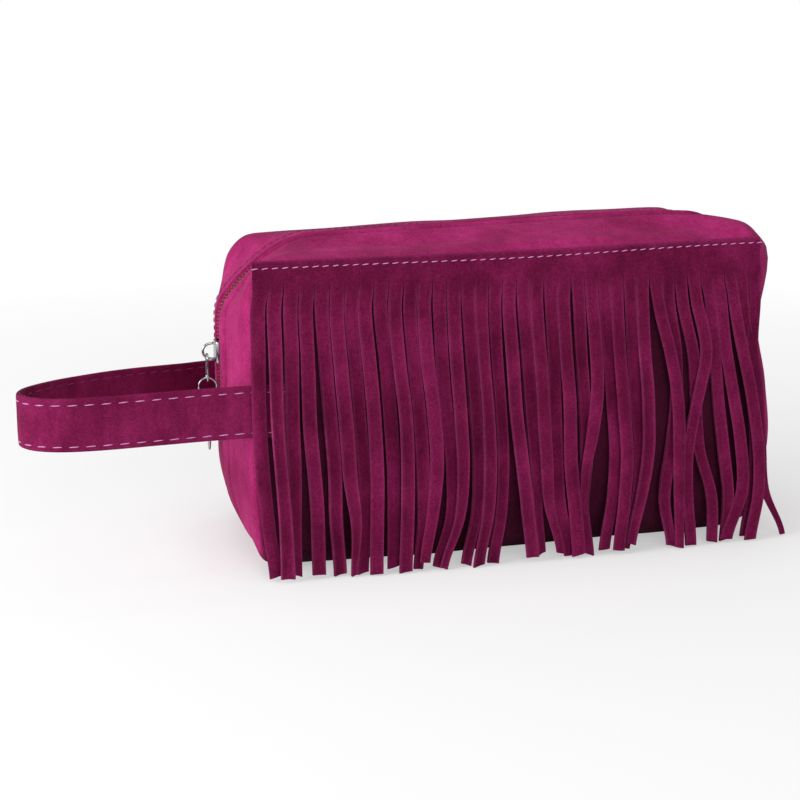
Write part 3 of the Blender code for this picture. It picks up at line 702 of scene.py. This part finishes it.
def measured_shift(point):
    """Where the stuffed skin stands off the frame's plain form."""
    x, y, z = point
    puff = hump(y, -26 * MM, 20 * MM) * within(x, 80, 98)
    shift = CORNER_PUFF * puff * within(z, 92, 110)
    right = smooth_step(x, 0.8 * LENGTH / 2, 0.95 * LENGTH / 2)
    right *= 1 - within(y, 0, 30)
    shift.x += right * sum(out * MM * hump(z, high * MM, reach * MM)
                           for out, high, reach in RIGHT_SWELLS)
    rear = within(y, 2, 34)
    top = within(-x, 10, 70) * within(z, 80, 120)
    end = within(-x, 80, 98) * within(z, 66, 105)
    return shift + Vector((REAR_OUT * end, 0, -REAR_DROP * top)) * rear


def fold_line(y, reach):
    """One in the fold along the placket's foot."""
    return hump(abs(y), PLACKET_FOLD + 0.4 * MM, reach)


def relief(point):
    """How far the soft skin stands in or out of the plain stuffed form."""
    waves = rough(point, 16, 3.0) * 1.5 * MM + rough(point, 42, 7.0) * 0.5 * MM
    move = waves * within(abs(point.y), 15, 24)
    if point.y < -0.45 * DEPTH:
        move = min(move, 0.0)
    if point.x < -0.9 * LENGTH / 2:
        move -= DART_DEPTH * hump(point.y, -38 * MM, 4 * MM) * hump(point.z, 113 * MM, 13 * MM)
    seam = hump(abs(point.y), DEPTH / 2 - SEAM_ROUND * 0.8, 1.3 * MM)
    return move - FOLD_DEPTH * fold_line(point.y, 2 * MM) - SEAM_DEPTH * seam


def shaded_share(point):
    """Share of painted shade: behind the fringe, at its foot and in the fold."""
    face = within(-point.y, 39.2, 40.6)
    foot = within(-point.y, 22, 28) * (1 - within(point.z, 9, 16))
    inward = 1 - smooth_step(abs(point.x), LENGTH / 2 - 5 * MM, LENGTH / 2)
    return max(face, foot * inward, 0.4 * fold_line(point.y, 1.4 * MM))


def build_shell():
    """Walled skin from ring to ring, left open along the zip."""
    stations = shell_stations()
    rings = [skin_ring(**station) for station in stations]
    size = len(rings[0])
    points = [point for ring in rings for point in ring]
    middle = len(stations) // 2
    faces = []
    for face in ring_faces(len(rings), size):
        station, node = divmod(face[0], size)
        if not (SLOT_FIRST <= node < SLOT_LAST and station in (middle - 1, middle)):
            faces.append(face)
    for station, sign in ((0, -1), (len(rings) - 1, 1)):
        start = station * size
        hub = len(points)
        points.append(fill_out(0, sign * DEPTH / 2, HEIGHT / 2, 1.0))
        for node in range(size):
            pair = (start + node, start + (node + 1) % size)
            faces.append((hub, *pair[::sign]))
    kept = sorted({index for face in faces for index in face})
    number = {index: order for order, index in enumerate(kept)}
    faces = [tuple(number[index] for index in reversed(face)) for face in faces]
    piece = add_piece("suede_shell", [points[index] for index in kept], faces, BRIGHT_SUEDE)
    normals = [vertex.normal.copy() for vertex in piece.data.vertices]
    # Painted shade: the share of darker colour where the shell lies in shadow behind the fringe,
    # at the foot and in the placket fold.
    lined = piece.data.attributes.new("lined", "FLOAT", "POINT")
    for index, (vertex, normal) in enumerate(zip(piece.data.vertices, normals)):
        lined.data[index].value = shaded_share(vertex.co)
        vertex.co += normal * relief(vertex.co) + measured_shift(vertex.co)
        vertex.co.z = max(vertex.co.z, 0.0)
    wall = piece.modifiers.new("wall", "SOLIDIFY")
    wall.thickness = WALL
    wall.offset = -1
    wall.use_even_offset = False
    settle(piece)
    piece.data.shade_smooth()
    belongs(piece, "bag", "suede_bright", "shell")


# Zip

def outward(first, second):
    along = (second - first).normalized()
    return Vector((-along.z, 0, along.x))


def track_nodes(y=0.0):
    """Points and mitred outward directions of the skin along the zip opening."""
    ring = skin_ring(y)
    nodes = []
    for index in range(SLOT_FIRST, SLOT_LAST + 1):
        before = outward(ring[index - 1], ring[index])
        after = outward(ring[index], ring[index + 1])
        nodes.append((ring[index], (before + after) / (1 + before.dot(after))))
    return nodes


def build_tape(name, sign, node):
    """Woven tape with a corded inner edge, mapped along its length."""
    profile = [(TAPE_INNER, 0.0), (TAPE_INNER + 0.25 * MM, 0.16 * MM),
               (TAPE_INNER + 0.6 * MM, 0.05 * MM), (3.2 * MM, 0.0), (5.5 * MM, 0.0),
               (TAPE_OUTER, 0.0)]
    rows = [track_nodes(y) for y, _ in profile]
    points, marks = [], []
    along = 0.0
    for index in range(len(rows[0])):
        if index:
            along += (rows[0][index][0] - rows[0][index - 1][0]).length
        outer = [(row, y, TAPE_DEPTH - lift) for row, (y, lift) in zip(rows, profile)]
        inner = [(row, y, TAPE_DEPTH + TAPE_THICKNESS) for row, y, _ in outer[::-1]]
        for row, y, depth in outer + inner:
            base, out = row[index]
            moved = base - out * depth
            points.append(Vector((moved.x, moved.y * sign, moved.z)))
            marks.append((along, y))
    size = len(profile) * 2
    faces = ring_faces(len(rows[0]), size) + end_caps(len(rows[0]), size)
    piece = add_piece(name, points, faces, TAPE_CLOTH, smooth=False)
    layer = piece.data.uv_layers.new(name="weave")
    for loop in piece.data.loops:
        layer.data[loop.index].uv = marks[loop.vertex_index]
    belongs(piece, "bag", "zip_tape", node)


class Track:
    """Middle line of the zip, read by distance from its left end."""

    def __init__(self):
        self.nodes = track_nodes()
        self.marks = [0.0]
        for (first, _), (second, _) in zip(self.nodes, self.nodes[1:]):
            self.marks.append(self.marks[-1] + (second - first).length)
        self.length = self.marks[-1]

    def at(self, distance, y, depth):
        index = 0
        while index < len(self.marks) - 2 and self.marks[index + 1] < distance:
            index += 1
        part = (distance - self.marks[index]) / (self.marks[index + 1] - self.marks[index])
        ends = zip(*self.nodes[index:index + 2])
        point, out = (first.lerp(second, part) for first, second in ends)
        moved = point - out.normalized() * depth
        return Vector((moved.x, y, moved.z)), out.normalized()


def row_spread(distance, track):
    """Extra half gap between the rows below the slider."""
    height = distance + track.nodes[0][0].z
    foot = SLIDER_HEIGHT - SLIDER_LENGTH / 2
    start = track.nodes[0][0].z + CHAIN_MARGIN
    if height >= foot:
        return 0.0
    return ROW_SPREAD * math.sin(math.pi * clamp((height - start) / (foot - start)))


def line_piece(name, points, lifts):
    """Open line of edges that carries its outward directions."""
    edges = [(index, index + 1) for index in range(len(points) - 1)]
    mesh = plain_mesh(name, points, edges, [])
    layer = mesh.attributes.new("lift", "FLOAT_VECTOR", "POINT")
    for index, lift in enumerate(lifts):
        layer.data[index].vector = lift
    return into_scene(name, mesh)


def repeat_tree(name, measures, shape):
    """Node tree that repeats a small shape along a line at an even pitch."""
    tree = bpy.data.node_groups.new(name, "GeometryNodeTree")
    for label, kind, way in (("Geometry", "Geometry", "INPUT"),
                             *((measure, "Float", "INPUT") for measure in measures),
                             ("Finish", "Material", "INPUT"), ("Geometry", "Geometry", "OUTPUT")):
        tree.interface.new_socket(label, in_out=way, socket_type="NodeSocket" + kind)
    nodes = Nodes(tree)
    entry = tree.nodes.new("NodeGroupInput")
    given = {socket.name: Value(nodes, socket) for socket in entry.outputs if socket.name}
    line = nodes.add("GeometryNodeMeshToCurve", None, {0: given["Geometry"]})
    sockets = {"Curve": line, "Length": given["Pitch"]}
    beads = nodes.add("GeometryNodeResampleCurve", {"mode": "LENGTH"}, sockets)
    along = nodes.add("GeometryNodeInputTangent")
    lift = nodes.add("GeometryNodeInputNamedAttribute", {"data_type": "FLOAT_VECTOR"},
                     {"Name": "lift"})
    turned = nodes.add("FunctionNodeAlignRotationToVector", {"axis": "X"}, {"Vector": along})
    turned = nodes.add("FunctionNodeAlignRotationToVector", {"axis": "Z", "pivot_axis": "X"},
                       {"Rotation": turned, "Vector": lift})
    sockets = {"Points": beads, "Instance": shape(nodes, given), "Rotation": turned}
    placed = nodes.add("GeometryNodeInstanceOnPoints", None, sockets)
    real = nodes.add("GeometryNodeRealizeInstances", None, {0: placed})
    smooth = nodes.add("GeometryNodeSetShadeSmooth", None, {0: real})
    sockets = {"Geometry": smooth, "Material": given["Finish"]}
    done = nodes.add("GeometryNodeSetMaterial", None, sockets)
    nodes.feed(tree.nodes.new("NodeGroupOutput").inputs[0], done)
    return tree


def stitch_shape(nodes, given):
    """Plump dash, a little slanted, lying half in the suede."""
    bead = nodes.add("GeometryNodeMeshUVSphere", None, {"Segments": 8, "Rings": 6, "Radius": 0.5})
    size = nodes.add("ShaderNodeCombineXYZ", None,
                     {0: given["Dash"], 1: given["Width"], 2: given["Width"]})
    turn = nodes.add("ShaderNodeCombineXYZ", None, {0: 0.0, 1: 0.0, 2: given["Slant"]})
    sockets = {"Geometry": bead, "Scale": size, "Rotation": turn}
    return nodes.add("GeometryNodeTransform", None, sockets)


def coil_shape(nodes, given):
    """One turn of the coil: an oval loop of wire across the row."""
    loop = nodes.add("GeometryNodeCurvePrimitiveCircle", None, {"Resolution": 12, "Radius": 0.5})
    size = nodes.add("ShaderNodeCombineXYZ", None,
                     {0: given["Reach"], 1: given["Rise"], 2: 1.0})
    oval = nodes.add("GeometryNodeTransform", None,
                     {"Geometry": loop, "Scale": size, "Rotation": (math.pi / 2, 0, math.pi / 2)})
    wire = nodes.add("GeometryNodeCurvePrimitiveCircle", None,
                     {"Resolution": 6, "Radius": given["Wire"]})
    return nodes.add("GeometryNodeCurveToMesh", None,
                     {"Curve": oval, "Profile Curve": wire, "Fill Caps": False})


RUNNING_STITCH = repeat_tree("running_stitch", ("Pitch", "Dash", "Width", "Slant"), stitch_shape)
ZIP_COIL = repeat_tree("zip_coil", ("Pitch", "Reach", "Rise", "Wire"), coil_shape)


def repeat_along(piece, tree, values):
    """Grow the tree's shapes on a line and keep the result as a plain mesh."""
    modifier = piece.modifiers.new(tree.name, "NODES")
    modifier.node_group = tree
    for socket in tree.interface.items_tree:
        if socket.in_out == "INPUT" and socket.name in values:
            modifier[socket.identifier] = values[socket.name]
    piece.update_tag()
    settle(piece)


def build_coil(name, sign, track, node):
    """One row of the coil; its turns stand half a pitch off the other row's."""
    points, lifts = [], []
    start = CHAIN_MARGIN + (TOOTH_PITCH / 2 if sign > 0 else 0.0)
    for step in range(COIL_STEPS + 1):
        distance = blend(start, track.length - CHAIN_MARGIN, step / COIL_STEPS)
        height = distance + track.nodes[0][0].z
        closed = COIL_MESH * smooth_step(height, COIL_OPEN, COIL_CLOSED)
        y = (TOOTH_INNER + TOOTH_OUTER) / 2 + row_spread(distance, track) - closed
        point, out = track.at(distance, y * sign, TAPE_DEPTH - SEAT_GAP - TOOTH_HEIGHT / 2)
        points.append(point)
        lifts.append(out)
    piece = line_piece(name, points, lifts)
    repeat_along(piece, ZIP_COIL, {
        "Pitch": TOOTH_PITCH, "Reach": TOOTH_OUTER - TOOTH_INNER - 2 * COIL_WIRE,
        "Rise": TOOTH_HEIGHT - 2 * COIL_WIRE, "Wire": COIL_WIRE, "Finish": COIL_NYLON})
    belongs(piece, "bag", "zip_coil", node)


def sew(name, points, lifts, pitch, dash, slant=0.12, thread=THREAD):
    """Row of running stitches along a line on the suede."""
    piece = line_piece(name, points, lifts)
    repeat_along(piece, RUNNING_STITCH, {
        "Pitch": pitch, "Dash": dash, "Width": THREAD_WIDTH, "Slant": slant, "Finish": thread})
    belongs(piece, "bag", "suede_deep")


# Slider and pull

def wire_piece(name, path, radius, closed, sides=16):
    """Round wire along a path; both ends of an open one are rounded over."""
    count = len(path)
    points = []
    flat = (path[1] - path[0]).cross(path[2] - path[1]).normalized()
    for index, centre in enumerate(path):
        before = path[index - 1] if closed or index else path[0]
        after = path[(index + 1) % count] if closed or index < count - 1 else path[-1]
        across = (after - before).normalized().cross(flat)
        points += [centre + (across * near + flat * far) * radius for near, far in arc(sides)[:-1]]
    faces = ring_faces(count, sides, closed)
    if not closed:
        faces += end_caps(count, sides)
    return add_piece(name, points, faces, NICKEL)


def build_slider():
    """Frame's slider with its corners rolled over."""
    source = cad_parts["slider"].data.copy()
    work = bmesh.new()
    work.from_mesh(source)
    bmesh.ops.remove_doubles(work, verts=work.verts, dist=0.01 * MM)
    bmesh.ops.dissolve_limit(work, angle_limit=math.radians(2), verts=work.verts,
                             edges=work.edges)
    work.to_mesh(source)
    work.free()
    source.materials.clear()
    source.materials.append(NICKEL)
    piece = into_scene("slider_body", source)
    rolled = piece.modifiers.new("rolled", "BEVEL")
    rolled.width = SLIDER_ROLL
    rolled.segments = 2
    rolled.limit_method = "ANGLE"
    settle(piece)
    piece.data.shade_smooth()
    belongs(piece, "slider", "nickel", "slider")


def build_bail():
    """Arch of wire that stands on the slider's outer plate."""
    foot = TRACK_X - PLATE_TOP - WIRE_GAP
    path = [Vector((foot - BAIL_REACH * max(out, 0) ** 0.7, 0, SLIDER_HEIGHT + BAIL_HALF * up))
            for up, out in arc(ARCH_STEPS, 0, math.pi)]
    belongs(wire_piece("slider_arch", path, BAIL_WIRE, closed=False), "slider", "nickel",
            "slider_bail")


def link_top():
    rise = BAIL_WIRE + LINK_WIRE + WIRE_GAP + LINK_RISE
    return Vector((TRACK_X - LINK_OUT, 0, SLIDER_HEIGHT - BAIL_HALF + rise))


def link_foot():
    return link_top() - Vector((0, 0, LINK_LENGTH))


def build_link():
    """Oblong of wire with two round ends."""
    path = []
    for centre, start in ((link_top() - Vector((0, 0, LINK_HALF)), 0),
                          (link_foot() + Vector((0, 0, LINK_HALF)), math.pi)):
        path += [centre + Vector((0, across, up)) * LINK_HALF
                 for across, up in arc(LINK_STEPS, start, math.pi)]
    belongs(wire_piece("wire_link", path, LINK_WIRE, closed=True), "link", "nickel", "pull_link")


def ring_centre():
    return link_foot() - Vector((0, 0, RING_RADIUS - LINK_WIRE - RING_WIRE - WIRE_GAP))


def build_ring():
    path = [ring_centre() + Vector((out, 0, up)) * RING_RADIUS for out, up in arc(RING_STEPS)[:-1]]
    belongs(wire_piece("jump_ring", path, RING_WIRE, closed=True), "ring", "nickel", "pull_ring")


def build_tag():
    """Slim drop with a round eye and softly rolled edges."""
    eye_top = ring_centre().z - RING_RADIUS + RING_WIRE + WIRE_GAP
    eye = Vector((ring_centre().x, 0, eye_top - TAG_EYE))
    full, hole = [], []
    for across, up in arc(TAG_STEPS, math.pi / 2)[:-1]:
        hole.append((TAG_EYE * across, TAG_EYE * up))
        if up >= 0:
            full.append((TAG_NECK * across, TAG_NECK * up))
        else:
            belly = TAG_BELLY * math.sin(math.pi * (-up) ** 1.1)
            swell = TAG_NECK + (TAG_HALF - TAG_NECK) * belly
            full.append((swell * across, -(TAG_LENGTH - 2 * TAG_NECK) * (-up) ** 1.35))
    half = TAG_THICKNESS / 2
    levels = ((0.0, 0.85), (0.06, 1.0), (0.5, 1.0), (0.9, 0.98), (0.97, 0.8), (1.0, 0.35))
    points = []
    for share, out in levels + tuple((share, -out) for share, out in levels[::-1]):
        for (hole_y, hole_z), (y, z) in zip(hole, full):
            points.append(eye + Vector((half * out, blend(hole_y, y, share),
                                        blend(hole_z, z, share))))
    faces = ring_faces(2 * len(levels), TAG_STEPS, closed=True)
    piece = add_piece("pull_drop", points, faces, NICKEL)
    belongs(piece, "tag", "nickel", "pull_tag")


# Fringe

def strap_lift(x, z):
    """Extra stand-off of the strips that hang over the strap's end."""
    end_x = STRAP_END - LENGTH / 2
    near = 1 - smooth_step(x, end_x, end_x + STRAP_COVER)
    below = 1 - smooth_step(z, HEIGHT - STRAP_LIFT_LOW, HEIGHT - STRAP_LIFT_HIGH)
    return STRAP_LIFT * near * below


def fringe_front(x, z):
    """Y of the inner face of the hanging suede."""
    level = max(z, HANG_HEIGHT)
    swell = max(end_swell(x, DEPTH / 2, height) for height in (z, level))
    clear = FRINGE_CLEAR + strap_lift(x, z)
    return -(DEPTH / 2 + face_bulge(x - max(swell, 0), level) + clear)


def strip_plan():
    """Edges, cut height, path, layer and twist for every strip."""
    rng = random.Random(CUT_SEED)
    extra = random.Random(CURL_SEED)
    count = len(STRIP_PATHS)
    plan = []
    left = -LENGTH / 2
    for index, (leans, widths, end) in enumerate(STRIP_PATHS):
        part = index / (count - 1)
        right = left + LENGTH / count * (1 + STRIP_TAPER * (1 - 2 * part))
        plan.append(dict(
            left=left + (STRIP_GAP / 2 if index else 0), right=right - STRIP_GAP / 2,
            leans=(0, *leans), widths=(100, *widths), end=end / 10 * MM,
            layer=STRIP_LAYERS.get(index, index % 2),
            cut=blend(LEFT_CUT, RIGHT_CUT, part) + rng.uniform(-1, 1) * MM,
            twist=STRIP_TWIST * rng.uniform(-1, 1), cup=extra.uniform(-0.9, 0.5) * MM,
            wave=extra.uniform(0, 50), skew=extra.uniform(-0.8, 0.8) * MM))
        left = right
    return plan


def smooth_line(values, place):
    """Value of a smooth curve through evenly spaced values."""
    index = int(clamp(place, 0, len(values) - 1.001))
    return curve_between(values[max(index - 1, 0)], values[index], values[index + 1],
                         values[min(index + 2, len(values) - 1)], place - index)


def strip_lean(strip, part):
    """Sideways move at a share of the way down."""
    lean = smooth_line(strip["leans"], (part + LEAN_LEAD) / LEAN_STEP)
    return lean / 10 * MM * smooth_step(part, 0, 0.09)


def strip_point(strip, across, part):
    """Middle of the suede's thickness at a share across and down the strip."""
    end = strip["end"] + strip["skew"] * across
    z = blend(strip["cut"], end, part)
    half = (strip["right"] - strip["left"]) / 2
    half *= smooth_line(strip["widths"], part * 3) / 100
    half += 0.12 * MM * (1 - smooth_step(part, 0, 0.1))
    middle = (strip["right"] + strip["left"]) / 2
    sway = noise.noise(Vector((strip["wave"], part * 3.5, 0))) * 0.4 * MM
    away = strip_lean(strip, part) + sway * smooth_step(part, 0.1, 0.6)
    out = SUEDE / 2 + strip["layer"] * LAYER_GAP * smooth_step(part, 0, LAYER_START)
    turn = strip["twist"] * smooth_step(part, 0.15, 0.9)
    swing = half * abs(math.sin(turn))
    base = min(fringe_front(middle, z), fringe_front(middle + away, z))
    if part == 0:
        x = middle + across * half
        return Vector((x, fringe_front(x, z) - SUEDE / 2, z))
    cup = strip["cup"] * (across * across - 0.4) * smooth_step(part, 0.05, 0.5)
    curl = noise.noise(Vector((strip["wave"], 9, part * 2))) * 1.2 * MM * part
    x = middle + away + across * half * math.cos(turn)
    y = base - out - swing + across * half * math.sin(turn) + cup - abs(curl)
    return Vector((x, y, z))


def strip_pale_edge_and_highlight(across, part):
    """Share of the paler cut edge, partly a painted highlight, at a place on a strip."""
    return smooth_step(abs(across), 0.8, 1.0) * smooth_step(part, 0, 0.05)


def build_fringe():
    """One sheet: a sewn band with the strips cut from its lower part."""
    points, edges, faces = [], [], []

    def add(point, edge):
        points.append(point)
        edges.append(edge)
        return len(points) - 1

    columns = []
    for strip in strip_plan():
        previous = []
        for across in STRIP_COLUMNS:
            top = add(strip_point(strip, across, 0), 0.0)
            previous.append(top)
            column = [top]
            x = points[top].x
            rise = BAND_RISE * smooth_step(x, 0, LENGTH / 2)
            for step in range(1, BAND_STEPS + 1):
                z = blend(points[top].z, BAND_TOP, step / BAND_STEPS)
                inset = BAND_INSET * smooth_step(z, BAND_FOLD, BAND_TOP) ** 1.5
                y = fringe_front(x, min(z, BAND_FOLD)) + inset
                # The band's top rim is paler too: partly the cut edge's own colour, partly a
                # painted highlight.
                edge = smooth_step(z, BAND_TOP - BAND_RIM, BAND_TOP)
                z += rise * step / BAND_STEPS
                column.append(add(Vector((x, y - SUEDE / 2, z)), edge))
            columns.append(column)
        for row in range(1, STRIP_ROWS + 1):
            part = row / STRIP_ROWS
            fresh = [add(strip_point(strip, across, part), strip_pale_edge_and_highlight(across, part))
                     for across in STRIP_COLUMNS]
            for first, second, third, fourth in zip(previous, previous[1:], fresh[1:], fresh):
                faces.append((first, second, third, fourth))
            previous = fresh
    for first, second in zip(columns, columns[1:]):
        for row in range(BAND_STEPS):
            faces.append((first[row + 1], second[row + 1], second[row], first[row]))
    piece = add_piece("suede_fringe", points, [face[::-1] for face in faces],
                      FRINGE_SHADED_COPY, CUT_SUEDE)
    layer = piece.data.attributes.new("edge", "FLOAT", "POINT")
    for index, edge in enumerate(edges):
        layer.data[index].value = edge
    body = piece.modifiers.new("thickness", "SOLIDIFY")
    body.thickness = SUEDE
    body.offset = 0
    body.use_even_offset = True
    body.material_offset_rim = 1
    settle(piece)
    piece.data.shade_smooth()
    piece.data.set_sharp_from_angle(angle=math.radians(50))
    belongs(piece, "bag", "suede_deep", "fringe")


def sew_band():
    """Running stitch that holds the fringe's band to the shell."""
    points, lifts = [], []
    for step in range(BAND_ROW_STEPS + 1):
        part = step / BAND_ROW_STEPS
        x = blend(-LENGTH / 2 + 0.8 * MM, LENGTH / 2 - 0.5 * MM, part)
        rise = BAND_ROW_RISE * smooth_step(part, 0.4, 1)
        z = BAND_ROW + BAND_ROW_SWAY * math.sin(part * 9) + rise
        y = fringe_front(x, min(z, BAND_FOLD)) - SUEDE
        points.append(Vector((x, y, z)))
        lifts.append(Vector((0, -1, 0.1)))
    sew("band_stitches", points, lifts, BAND_PITCH, BAND_DASH)


# Wrist strap

def spline(line, steps):
    """Smooth curve through the listed points."""
    knots = [Vector((x * MM - LENGTH / 2, share * DEPTH / 2, z * MM + STRAP_RISE))
             for x, share, z in line]
    curve = []
    for index in range(len(knots) - 1):
        after = knots[min(index + 2, len(knots) - 1)]
        for step in range(steps):
            curve.append(curve_between(knots[max(index - 1, 0)], knots[index],
                                       knots[index + 1], after, step / steps))
    return curve + [knots[-1]]


def strap_frames():
    """Centre, outward direction and distance for every step of the strap."""
    curve = spline(STRAP_LINE, STRAP_STEPS)
    frames = []
    distance = 0.0
    for index, centre in enumerate(curve):
        along = curve[min(index + 1, len(curve) - 1)] - curve[max(index - 1, 0)]
        along.z = 0
        if index:
            distance += (centre - curve[index - 1]).length
        frames.append((centre, Vector((-along.y, along.x, 0)).normalized(), distance))
    return frames


def strap_outline():
    """Two folded layers: rounded edges with a shallow line between the layers."""
    thick = STRAP_THICKNESS / 2
    tall = STRAP_WIDTH / 2
    quarter = [(thick, tall * 0.0), (thick, tall * 0.45), (thick, tall - 2.2 * MM),
               (thick * 0.97, tall - 0.9 * MM), (thick * 0.85, tall - 0.35 * MM),
               (thick * 0.55, tall - 0.05 * MM), (thick * 0.25, tall - 0.08 * MM),
               (0.0, tall - 0.4 * MM)]
    right = [(away, -up) for away, up in quarter[:0:-1]] + quarter
    left = [(-away, up) for away, up in quarter[-2::-1]]
    left += [(-away, -up) for away, up in quarter[1:-1]]
    return right + left


def build_strap():
    outline = strap_outline()
    points = []
    for centre, out, distance in strap_frames():
        for away, up in outline:
            pucker = 0.12 * MM * noise.noise(Vector((distance * 90, up * 120, away * 300)))
            points.append(centre + out * (away + pucker) + Vector((0, 0, up)))
    rings = len(points) // len(outline)
    faces = ring_faces(rings, len(outline)) + end_caps(rings, len(outline))
    piece = add_piece("suede_strap", points, faces, STRAP_SHADED_COPY)
    belongs(piece, "bag", "strap_suede", "strap")


def sew_strap():
    """Two rows along each face, and a short row across the end that is sewn to the back."""
    frames = strap_frames()
    kept = [entry for entry in frames if entry[2] < frames[-1][2] - STRAP_HEM]
    for face, sign, thread in (("outer", 1, THREAD), ("inner", -1, PLUM_THREAD)):
        for row, up in (("upper", STRAP_UPPER), ("lower", STRAP_LOWER)):
            points = [centre + out * sign * STRAP_THICKNESS / 2 + Vector((0, 0, up))
                      for centre, out, _ in kept]
            lifts = [out * sign for _, out, _ in kept]
            sew("strap_stitches_%s_%s" % (face, row), points, lifts, STRAP_PITCH, STRAP_DASH,
                slant=0.05, thread=thread)
    centre, out, _ = kept[-1]
    across = [centre + out * STRAP_THICKNESS / 2
              + Vector((0, 0, blend(STRAP_LOWER, STRAP_UPPER, step / 20))) for step in range(21)]
    sew("strap_stitches_end", across, [out] * len(across), BAND_PITCH, BAND_DASH, slant=0.0)


def sew_plackets():
    """Topstitching on the folded edges beside the zip, in matching thread."""
    for name, sign in (("front", -1), ("back", 1)):
        ring = skin_ring(sign * PLACKET_ROW, raised=PLACKET_RAISE)
        sewn = range(SLOT_FIRST + PLACKET_HEM, SLOT_LAST + 1 - PLACKET_HEM)
        lifts = [outward(ring[index - 1], ring[index + 1]) for index in sewn]
        sew("placket_stitches_" + name, [ring[index] for index in sewn], lifts,
            PLACKET_PITCH, PLACKET_DASH, slant=0.05, thread=PLUM_THREAD)


# Studio

def emptied(tree):
    tree.nodes.clear()
    return Nodes(tree)


def build_floor():
    """Pale floor that runs into white and keeps the object's shadow."""
    finish = bpy.data.materials.new("studio_floor")
    finish.use_nodes = True
    nodes = emptied(finish.node_tree)
    paper = nodes.add("ShaderNodeBsdfDiffuse", None, {"Color": PAPER})
    glow = nodes.add("ShaderNodeEmission", None, {"Color": WHITE, "Strength": 1.0})
    seen = nodes.add("ShaderNodeLightPath", out="Is Camera Ray")
    distance = nodes.add("ShaderNodeVectorMath", {"operation": "LENGTH"},
                         {0: nodes.add("ShaderNodeTexCoord", out=3)}, out=1)
    fade = (distance * 2.2 - 0.25).limited()
    share = seen * (0.45 + fade * 0.55)
    shade = nodes.add("ShaderNodeMixShader", None, {0: share, 1: paper, 2: glow})
    nodes.feed(nodes.tree.nodes.new("ShaderNodeOutputMaterial").inputs[0], shade)
    far = FLOOR_HALF
    mesh = plain_mesh("studio_floor", [(-far, -far, 0), (far, -far, 0), (far, far, 0),
                                       (-far, far, 0)], [], [(0, 1, 2, 3)])
    mesh.materials.append(finish)
    floor = into_scene("studio_floor", mesh)


def light_studio():
    """White surroundings, dimmer as a light than they look, and three soft lamps."""
    world = bpy.data.worlds.new("studio")
    world.use_nodes = True
    bpy.context.scene.world = world
    nodes = emptied(world.node_tree)
    seen = nodes.add("ShaderNodeLightPath", out="Is Camera Ray")
    soft = nodes.add("ShaderNodeBackground", None, {"Color": WHITE, "Strength": 0.35})
    white = nodes.add("ShaderNodeBackground", None, {"Color": WHITE, "Strength": 1.0})
    mixed = nodes.add("ShaderNodeMixShader", None, {0: seen, 1: soft, 2: white})
    nodes.feed(nodes.tree.nodes.new("ShaderNodeOutputWorld").inputs[0], mixed)
    for name, place, size, power in LAMPS:
        lamp = bpy.data.lights.new(name, "AREA")
        lamp.size = size
        lamp.energy = power
        holder = into_scene(name, lamp)
        holder.location = place
        holder.rotation_euler = (LAMP_AIM - Vector(place)).to_track_quat("-Z", "Y").to_euler()


def place_camera():
    lens = bpy.data.cameras.new("view")
    lens.lens = CAMERA_LENS
    lens.sensor_width = CAMERA_SENSOR
    camera = into_scene("view", lens)
    camera.location = CAMERA_PLACE
    camera.rotation_euler = CAMERA_TURN
    bpy.context.scene.camera = camera
    bpy.context.scene.view_settings.view_transform = "Standard"


build_shell()
build_fringe()
sew_band()
build_strap()
sew_strap()
sew_plackets()
build_tape("front_tape", -1, "zip_tape_front")
build_tape("back_tape", 1, "zip_tape_back")
zip_track = Track()
build_coil("front_coil", -1, zip_track, "zip_teeth_front")
build_coil("back_coil", 1, zip_track, "zip_teeth_back")
build_slider()
build_bail()
build_link()
build_ring()
build_tag()
for stop in ("top_stop_front", "top_stop_back", "bottom_stop"):
    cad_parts[stop].data.materials.clear()
    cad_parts[stop].data.materials.append(NICKEL)
build_floor()
light_studio()
place_camera()
